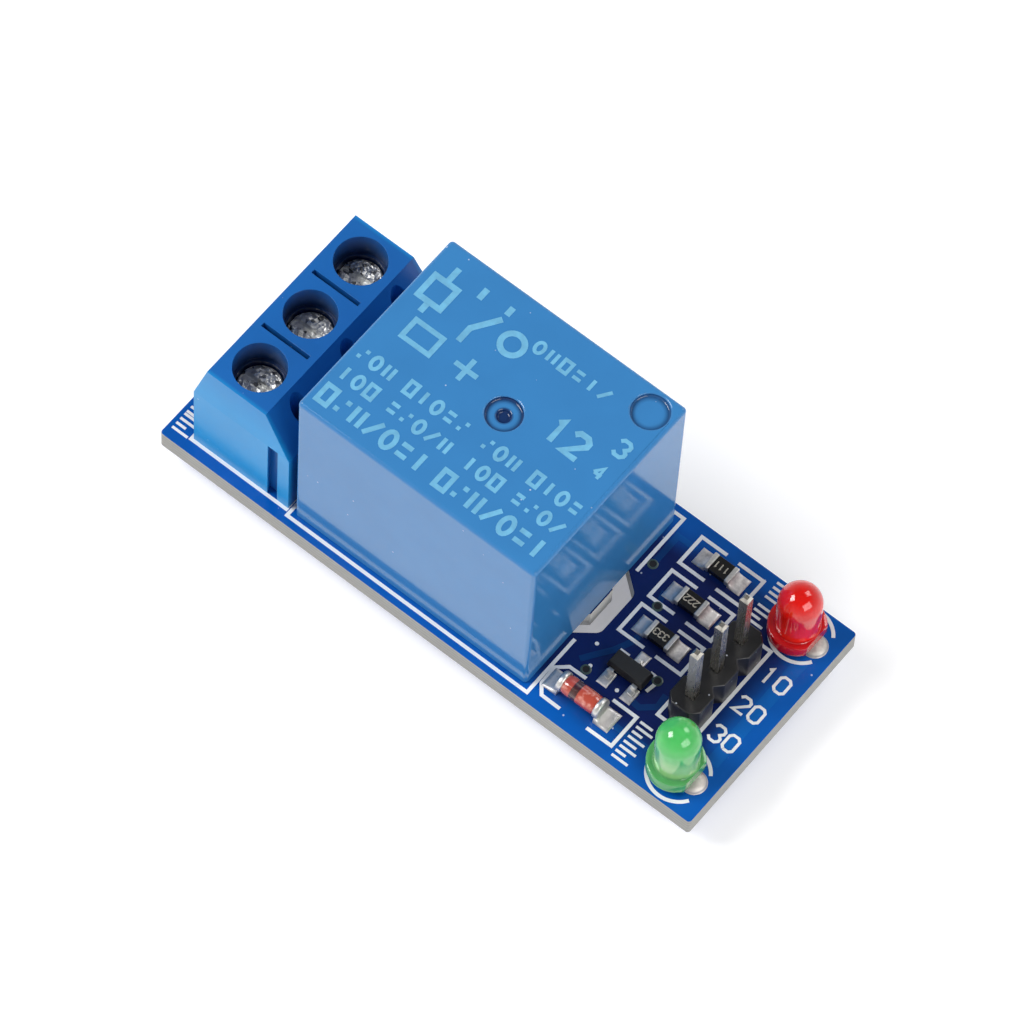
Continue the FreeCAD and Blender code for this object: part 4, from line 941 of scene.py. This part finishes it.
print_on_roof = marks(ROW_START, ROW_END, -6.75, 1.3, 0.8, 0.34, (6, 4, 1, 3, 5, 2, 0, None))
for x0, x1 in ((ROW_START, -1.9), (-0.6, ROW_END)):
    print_on_roof += marks(x0, x1, -4.65, 0.95, 0.6, 0.27, (0, 5, 6, None, 2, 4, 5, 3, 1))
    print_on_roof += marks(x0, x1, -2.85, 0.95, 0.6, 0.27, (4, 5, 1, None, 6, 0, 5, 2))
DIAGRAM = [[(-9.6, 2.3), (-9.6, 3.0)], [(-9.6, 5.2), (-9.6, 6.3)], [(-6.4, 2.2), (-6.4, 3.4), (-5.2, 5.2)],
           [(-7.3, 6.3), (-7.3, 5.4)], [(-5.2, 6.3), (-5.2, 5.6)]]
print_on_roof += [carried(path, DIAGRAM_LINE, *FILM) for path in DIAGRAM]
print_on_roof += [carried(path, width, *FILM, closed=True)
                  for path, width in ((rectangle(-10.5, 3.2, -8.7, 5.0), DIAGRAM_LINE),
                                      (arc(-3.6, 4.2, 0.8, 0, 345, 32), DIAGRAM_LINE),
                                      (rectangle(-9.4, 0.2, -7.2, 1.7), SIGN_LINE))]
print_on_roof += [carried(path, SIGN_LINE, *FILM)
                  for path in ([(-5.6, 0.9), (-3.8, 0.9)], [(-4.7, 0.0), (-4.7, 1.8)])]
print_on_roof += marks(-2.4, 3.9, 4.7, 0.85, 0.6, 0.25, (5, 1, 6, 2, 0, 3))
print_on_roof += number("12", 1.9, 0.3, 1.7, 0.42, *FILM) + number("3", 6.0, 2.2, 1.2, 0.28, *FILM)
print_on_roof += number("4", 6.0, 0.1, 0.9, 0.24, *FILM)
piece("relay_print", joined(print_on_roof, HAIR), "relay_blue", "relay print")
print(len(print_on_roof), "marks on the roof")

# %% [markdown]
# ## Screws with a worn head and a real thread
#
# The screws sit in deep wells, so the light reaches them from one side and their rough plating
# glitters. The head is a disc with a slot across it, broken into small facets: each point belongs to
# the nearest of some scattered spots, and each spot has a tilt of its own. The shank is a thread: its
# radius goes up and down with the height over the pitch less the angle. Each screw is one grid.

# %% Terminal screws
PITCH, SHANK, THREAD_DEPTH = 0.45, 1.25, 0.20
HEAD, HEAD_HEIGHT, SLOT_HALF, SLOT_DEPTH = 1.55, 1.2, 0.25, 0.45
CROWN, CROWN_DROP, EDGE = 1.42, 0.12, 1.5
STEPS, RINGS = 144, 40


def facets(x, y, seed):
    """Depth of the rough plating: 0.05 mm and the tilt of the nearest spot times the way from it."""
    rng = np.random.default_rng(seed)
    spots = rng.uniform(-1.6, 1.6, (150, 2))
    tilt = rng.uniform(-0.36, 0.36, (150, 2))
    way = np.stack([x, y], -1)[..., None, :] - spots
    near = np.argmin((way ** 2).sum(-1), -1)
    step = np.take_along_axis(way, near[..., None, None], -2)[..., 0, :]
    return np.clip(0.05 + (step * tilt[near]).sum(-1), 0, 0.1)


def screw_surface(x, y, top, tip, seed):
    """Rings from the centre of the head out, over its edge, and down the threaded shank."""
    neck = top - HEAD_HEIGHT
    a = circle(STEPS)
    out = np.linspace(0, 1, RINGS)
    r = np.concatenate([CROWN * out, [EDGE, HEAD, HEAD, HEAD, HEAD]])
    drop = np.concatenate([CROWN_DROP * out ** 4, [0.18, 0.3, SLOT_DEPTH, 0.8, HEAD_HEIGHT]])
    across, along = r * np.sin(a), r * np.cos(a)
    rough = facets(along, across, seed) * np.clip((EDGE - r) / 0.1, 0, 1)
    slot = np.clip((SLOT_HALF + 0.03 - np.abs(across)) / 0.06, 0, 1)
    floor = np.maximum(drop + 0 * a, SLOT_DEPTH + 0.3 * rough)
    head = np.stack([x + along, y + across, top - (drop + rough) * (1 - slot) - floor * slot], -1)
    rows = np.linspace(neck, tip, 66)
    wave = np.abs(((rows / PITCH - a / (2 * np.pi)) % 1) * 2 - 1)
    fade = np.clip((neck - rows) / 0.3, 0, 1)
    radius = SHANK - THREAD_DEPTH * wave * fade - 0.35 * np.clip((tip + 0.35 - rows) / 0.35, 0, 1)
    points = np.concatenate([head, around(x, y, radius, a, rows), around(x, y, 0.0, a, tip)], 1)
    return points.reshape(-1, 3), grid_faces(STEPS, points.shape[1], True, False)


for i in (1, 2, 3):
    node = f"terminal_screw_{i}"
    (x, y, _), (low, high) = middle_mm(node), box_mm(node)
    screw = piece(f"clamp_screw_{i}", screw_surface(x, y, high[2], low[2], i), "screw_steel",
                  body=f"screw_{i}", smooth=18, instead_of=node)
    print(screw.name, "turns with body", f"screw_{i}")

# %% [markdown]
# ## Lights
#
# A light is a barrel under half a ball, on a foot with one flat. It is a profile turned round the
# axis, with a quarter circle at its end. The flat is cut afterwards in the same array: wherever the
# foot would reach past it, X is held back to the flat.

# %% Lenses
FOOT, DOME = 1.95, 1.5
FOOT_OUTLINE = np.array([(0, 0), (FOOT - 0.08, 0), (FOOT, 0.08), (FOOT, 0.9), (FOOT - 0.03, 0.97),
                         (FOOT - 0.1, 1.0), (DOME + 0.06, 1.0), (DOME + 0.01, 1.05)])


def lens(name, node, slot):
    """The turned lens with its flat, in place of the plain one: foot, then (r cos t, r sin t)."""
    low, high = box_mm(node)
    t = np.radians(np.linspace(0, 90, 17))
    dome = np.stack([DOME * np.cos(t), high[2] - DOME + DOME * np.sin(t)], 1)
    points, faces = turned(np.concatenate([FOOT_OUTLINE + (0, low[2]), dome]), low[0] + FOOT,
                           middle_mm(node)[1], 72)
    points[:, 0] = np.minimum(points[:, 0], high[0])
    piece(name, (points, faces), slot, smooth=40, instead_of=node)


lens("red_light", "red_led_lens", "red_lens")
lens("green_light", "green_led_lens", "green_lens")
print("red light at", middle_mm("red_led_lens").round(2))

# %% [markdown]
# ## Solder
#
# Solder wets the pad and climbs the pin, so its outline is hollow: steep at the pin and flat at the
# rim. The turned profile is a quarter of an ellipse seen from outside. On the small parts it is a low
# pillow that climbs the end of the chip. That is a height over a rectangle, which falls off outwards
# along the pad and towards its side edges.

# %% Turned joints under the board and the mounds on top
def joint_profile(pin, rim, z_rim, z_top, steps=10):
    """Hollow outline from the rim of the pad to the pin: r falls as the height rises along an ellipse."""
    t = np.radians(np.linspace(0, 90, steps))
    r = rim - (rim - pin) * np.sin(t)
    z = z_rim + (z_top - z_rim) * (1 - np.cos(t))
    return np.concatenate([np.stack([r, z], 1), [(0, z_top), (0, z_rim)]])


RIM, PAD, JOINT_HEIGHT = 0.62, 0.72, 1.08
MOUND, MOUND_HEIGHT, MOUND_SHIFT = 0.92, 0.42, 0.25
LEAD_HALF_PITCH = 1.27
# Of each pin: X, Y and half its diagonal.
RELAY_PINS = [(COMMON_X, 0.0, 0.56)] + [(x, side * ROW_Y, half) for side in (-1, 1)
                                        for x, half in ((COIL_X, 0.43), (CONTACT_X, 0.56))]
TERMINAL_PINS = [(TERMINAL_X, y, 0.57) for y in (-POLE_Y, 0, POLE_Y)]
HEADER_PINS = [(HEADER_X, y, 0.45) for y in (-PIN_Y, 0, PIN_Y)]
LIGHT_PINS = [(LIGHT_X + way * LEAD_HALF_PITCH, side * LIGHT_Y, 0.36) for side in (-1, 1)
              for way in (-1, 1)]
JOINTS = [("relay_joints", "relay_solder", RELAY_PINS),
          ("terminal_joints", "terminal_solder", TERMINAL_PINS),
          ("header_joints", "header_solder", HEADER_PINS),
          ("light_joints", "led_solder", LIGHT_PINS)]
for name, node, pins in JOINTS:
    parts = []
    for x, y, half in pins:
        parts.append(turned(joint_profile(half + 0.06, half + RIM, BOARD_BOTTOM - 0.02,
                                          BOARD_BOTTOM - JOINT_HEIGHT), x, y, 32))
        parts.append(disc(x, y, half + PAD, BOARD_BOTTOM - 0.05, BOARD_BOTTOM + 0.01))
    piece(name, joined(parts), "solder", smooth=50, instead_of=node)
t = np.linspace(0, np.pi / 2, 9)
bulge = np.stack([(MOUND - 0.06) * np.cos(t), BOARD_TOP + 0.02 + MOUND_HEIGHT * np.sin(t)], 1)
mound = np.concatenate([[(0, BOARD_TOP - 0.005), (MOUND, BOARD_TOP - 0.005)], bulge])
mounds = [turned(mound, x + MOUND_SHIFT, y, 36) for x, y, _ in LIGHT_PINS if x > LIGHT_X]
piece("light_mounds", joined(mounds), "solder", "dull solder", smooth=60)
print("solder joints:", sum(len(pins) for _, _, pins in JOINTS))


# %% Pillows of solder on the small parts' pads
def pillow(x_in, x_out, y, width, climb, base, steps=24):
    """Height over a pad, s out and t across: (1 - s^12) (base (1 - t^12) + climb e^(-5 s) (1 - t^10))."""
    s = np.sin(np.linspace(0, np.pi / 2, steps))[:, None]
    t = np.sin(np.linspace(-np.pi / 2, np.pi / 2, steps))[None, :]
    h = (1 - s ** 12) * (base * (1 - t ** 12) + climb * np.exp(-5 * s) * (1 - t ** 10))
    top, low = (np.stack(np.broadcast_arrays(x_in + (x_out - x_in) * s, y + width / 2 * t, z), -1)
                for z in (BOARD_TOP + 0.02 + h, BOARD_TOP - 0.005))
    points = np.concatenate([top, low[:, ::-1]], 1)
    m = 2 * steps
    faces = grid_faces(steps, m, False, True).tolist()
    ends = [[k, k + 1, m - 2 - k, m - 1 - k] for k in range(steps - 1)]
    faces += ends + [[(steps - 1) * m + i for i in face] for face in ends]
    return points.reshape(-1, 3), faces


# Of each part: x, y, half its length, how far the solder goes under it, and the pillow's width and climb.
ENDS = [(CHIP_X, y, 1.0, 0.06, 1.36, 0.40) for y in CHIP_ROWS]
ENDS.append((*place_of("diode_glass"), 1.75, 0.25, 1.6, 0.42))
# Of each lead of the transistor: its place from the middle of the body, and the way it points along Y.
LEADS = [(0, 1.04, 1), (-0.95, -1.04, -1), (0.95, -1.04, -1)]
pads = [pillow(x + side * (half - under), x + side * (half + 0.95), y, width, climb, 0.10)
        for x, y, half, under, width, climb in ENDS for side in (-1, 1)]
body_x, body_y = place_of("transistor_body")
for x, y, side in LEADS:
    points, faces = pillow(0, 1.15, 0, 0.85, 0.12, 0.08)
    out, across, z = points.T
    pads.append((np.stack([body_x + x + across, body_y + y + side * (out - 0.4), z], 1), faces))
piece("chip_solder", joined(pads), "solder", smooth=60, instead_of="surface_pads")
print(len(pads), "pads")

# %% [markdown]
# ## The diode and the chip numbers
#
# The diode is glass drawn in a little at its ends, between two metal caps with soft rims. It lies
# down, so its profile is turned round X. The chips carry plain numbers in pale ink.

# %% Diode and chip numbers
def lying(profile, x, y, z):
    """A closed profile of (radius, along x) turned about a level axis: the upright form, axes rolled."""
    points, faces = turned(profile, 0, 0, 40)
    return np.roll(points, 1, 1) + (x, y, z), faces


DIODE = middle_mm("diode_glass")
half_glass = [(0, 1.3), (0.62, 1.3), (0.68, 1.15), (0.7, 0.9)]
glass = half_glass + [(r, -along) for r, along in half_glass[::-1]]
piece("diode_barrel", lying(glass, *DIODE), "diode_glass", smooth=60, instead_of="diode_glass")
cap = np.array([(0, 1.28), (0.66, 1.28), (0.74, 1.34), (0.75, 1.42), (0.75, 1.62), (0.68, 1.72),
                (0.5, 1.75), (0, 1.75)])
caps = [lying(cap * (1, side), *DIODE) for side in (1, -1)]
piece("diode_end_caps", joined(caps), "tinned_metal", smooth=60, instead_of="diode_caps")

CHIP_TOP = box_mm("resistor_1")[1][2]
chip_ink = []
for text, y in zip(("111", "222", "333"), CHIP_ROWS):
    chip_ink += number(text, CHIP_X + 0.5, y + 0.22, 0.44, 0.08, CHIP_TOP - 0.01, CHIP_TOP + 0.01,
                       along=(-1, 0), gap=1.2)
piece("chip_numbers", joined(chip_ink), "chip_ceramic", "chip print")
print("diode and", len(chip_ink), "strokes of chip print")

# %% [markdown]
# ## The coil's wire
#
# Inside the relay the coil is wound from fine wire. Only its outermost layer shows, so a tube is
# enough whose outside swells once for every turn of wire. The swelling follows the height over the
# wire's thickness minus the angle in turns, which makes it one long helix and not a stack of rings.

# %% The winding
def winding(wire=0.28):
    """Radius R - d (1 - |sin(pi (z / wire - a / 2 pi))|), with d two fifths of the wire."""
    (x, y, _), (low, high) = middle_mm("coil_winding"), box_mm("coil_winding")
    corners = np.array([v.co for v in nodes["coil_winding"].data.vertices]) / MM
    reach = np.hypot(corners[:, 0] - x, corners[:, 1] - y)
    inner, outer = reach.min(), reach.max()
    a = circle(72)
    z = np.linspace(low[2], high[2], int(7 * (high[2] - low[2]) / wire))
    wave = 1 - np.abs(np.sin(np.pi * (z / wire - a / (2 * np.pi))))
    radius = outer - 0.4 * wire * wave
    points = np.concatenate([around(x, y, radius, a, z), around(x, y, inner, a, z[[-1, 0]])], 1)
    return points.reshape(-1, 3), grid_faces(72, points.shape[1], True, True)


turns = piece("coil_turns", winding(), "enamelled_wire", smooth=75, instead_of="coil_winding")
print("coil of", len(turns.data.polygons), "faces")

# %% [markdown]
# ## Finishes on the solids that stay as they are
#
# The pins, the cages, the guards and the relay's works are already the right shape, and most of them
# are seen only when the relay is opened. They keep their solids and get a finish each, by the name of
# the material that the workshop gave them.

# %% Finishes by the record's own slots
for thing in nodes.values():
    slot = thing.data.materials[0].name
    thing.data.materials.clear()
    thing.data.materials.append(FINISH[slot])
    thing.data.shade_smooth()
    thing.data.set_sharp_from_angle(angle=math.radians(ROUND_OVER))
print(sum(not thing.hide_render for thing in nodes.values()), "solids keep their own shape")

# %% [markdown]
# ## Last look at the size
#
# The dressed board has to fill the same box as the solids. The box of the dressed board is written down at
# the end.

# %% Sizes and the end
low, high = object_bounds()
print("visual box, mm:", [round(v / MM, 2) for v in low], [round(v / MM, 2) for v in high])
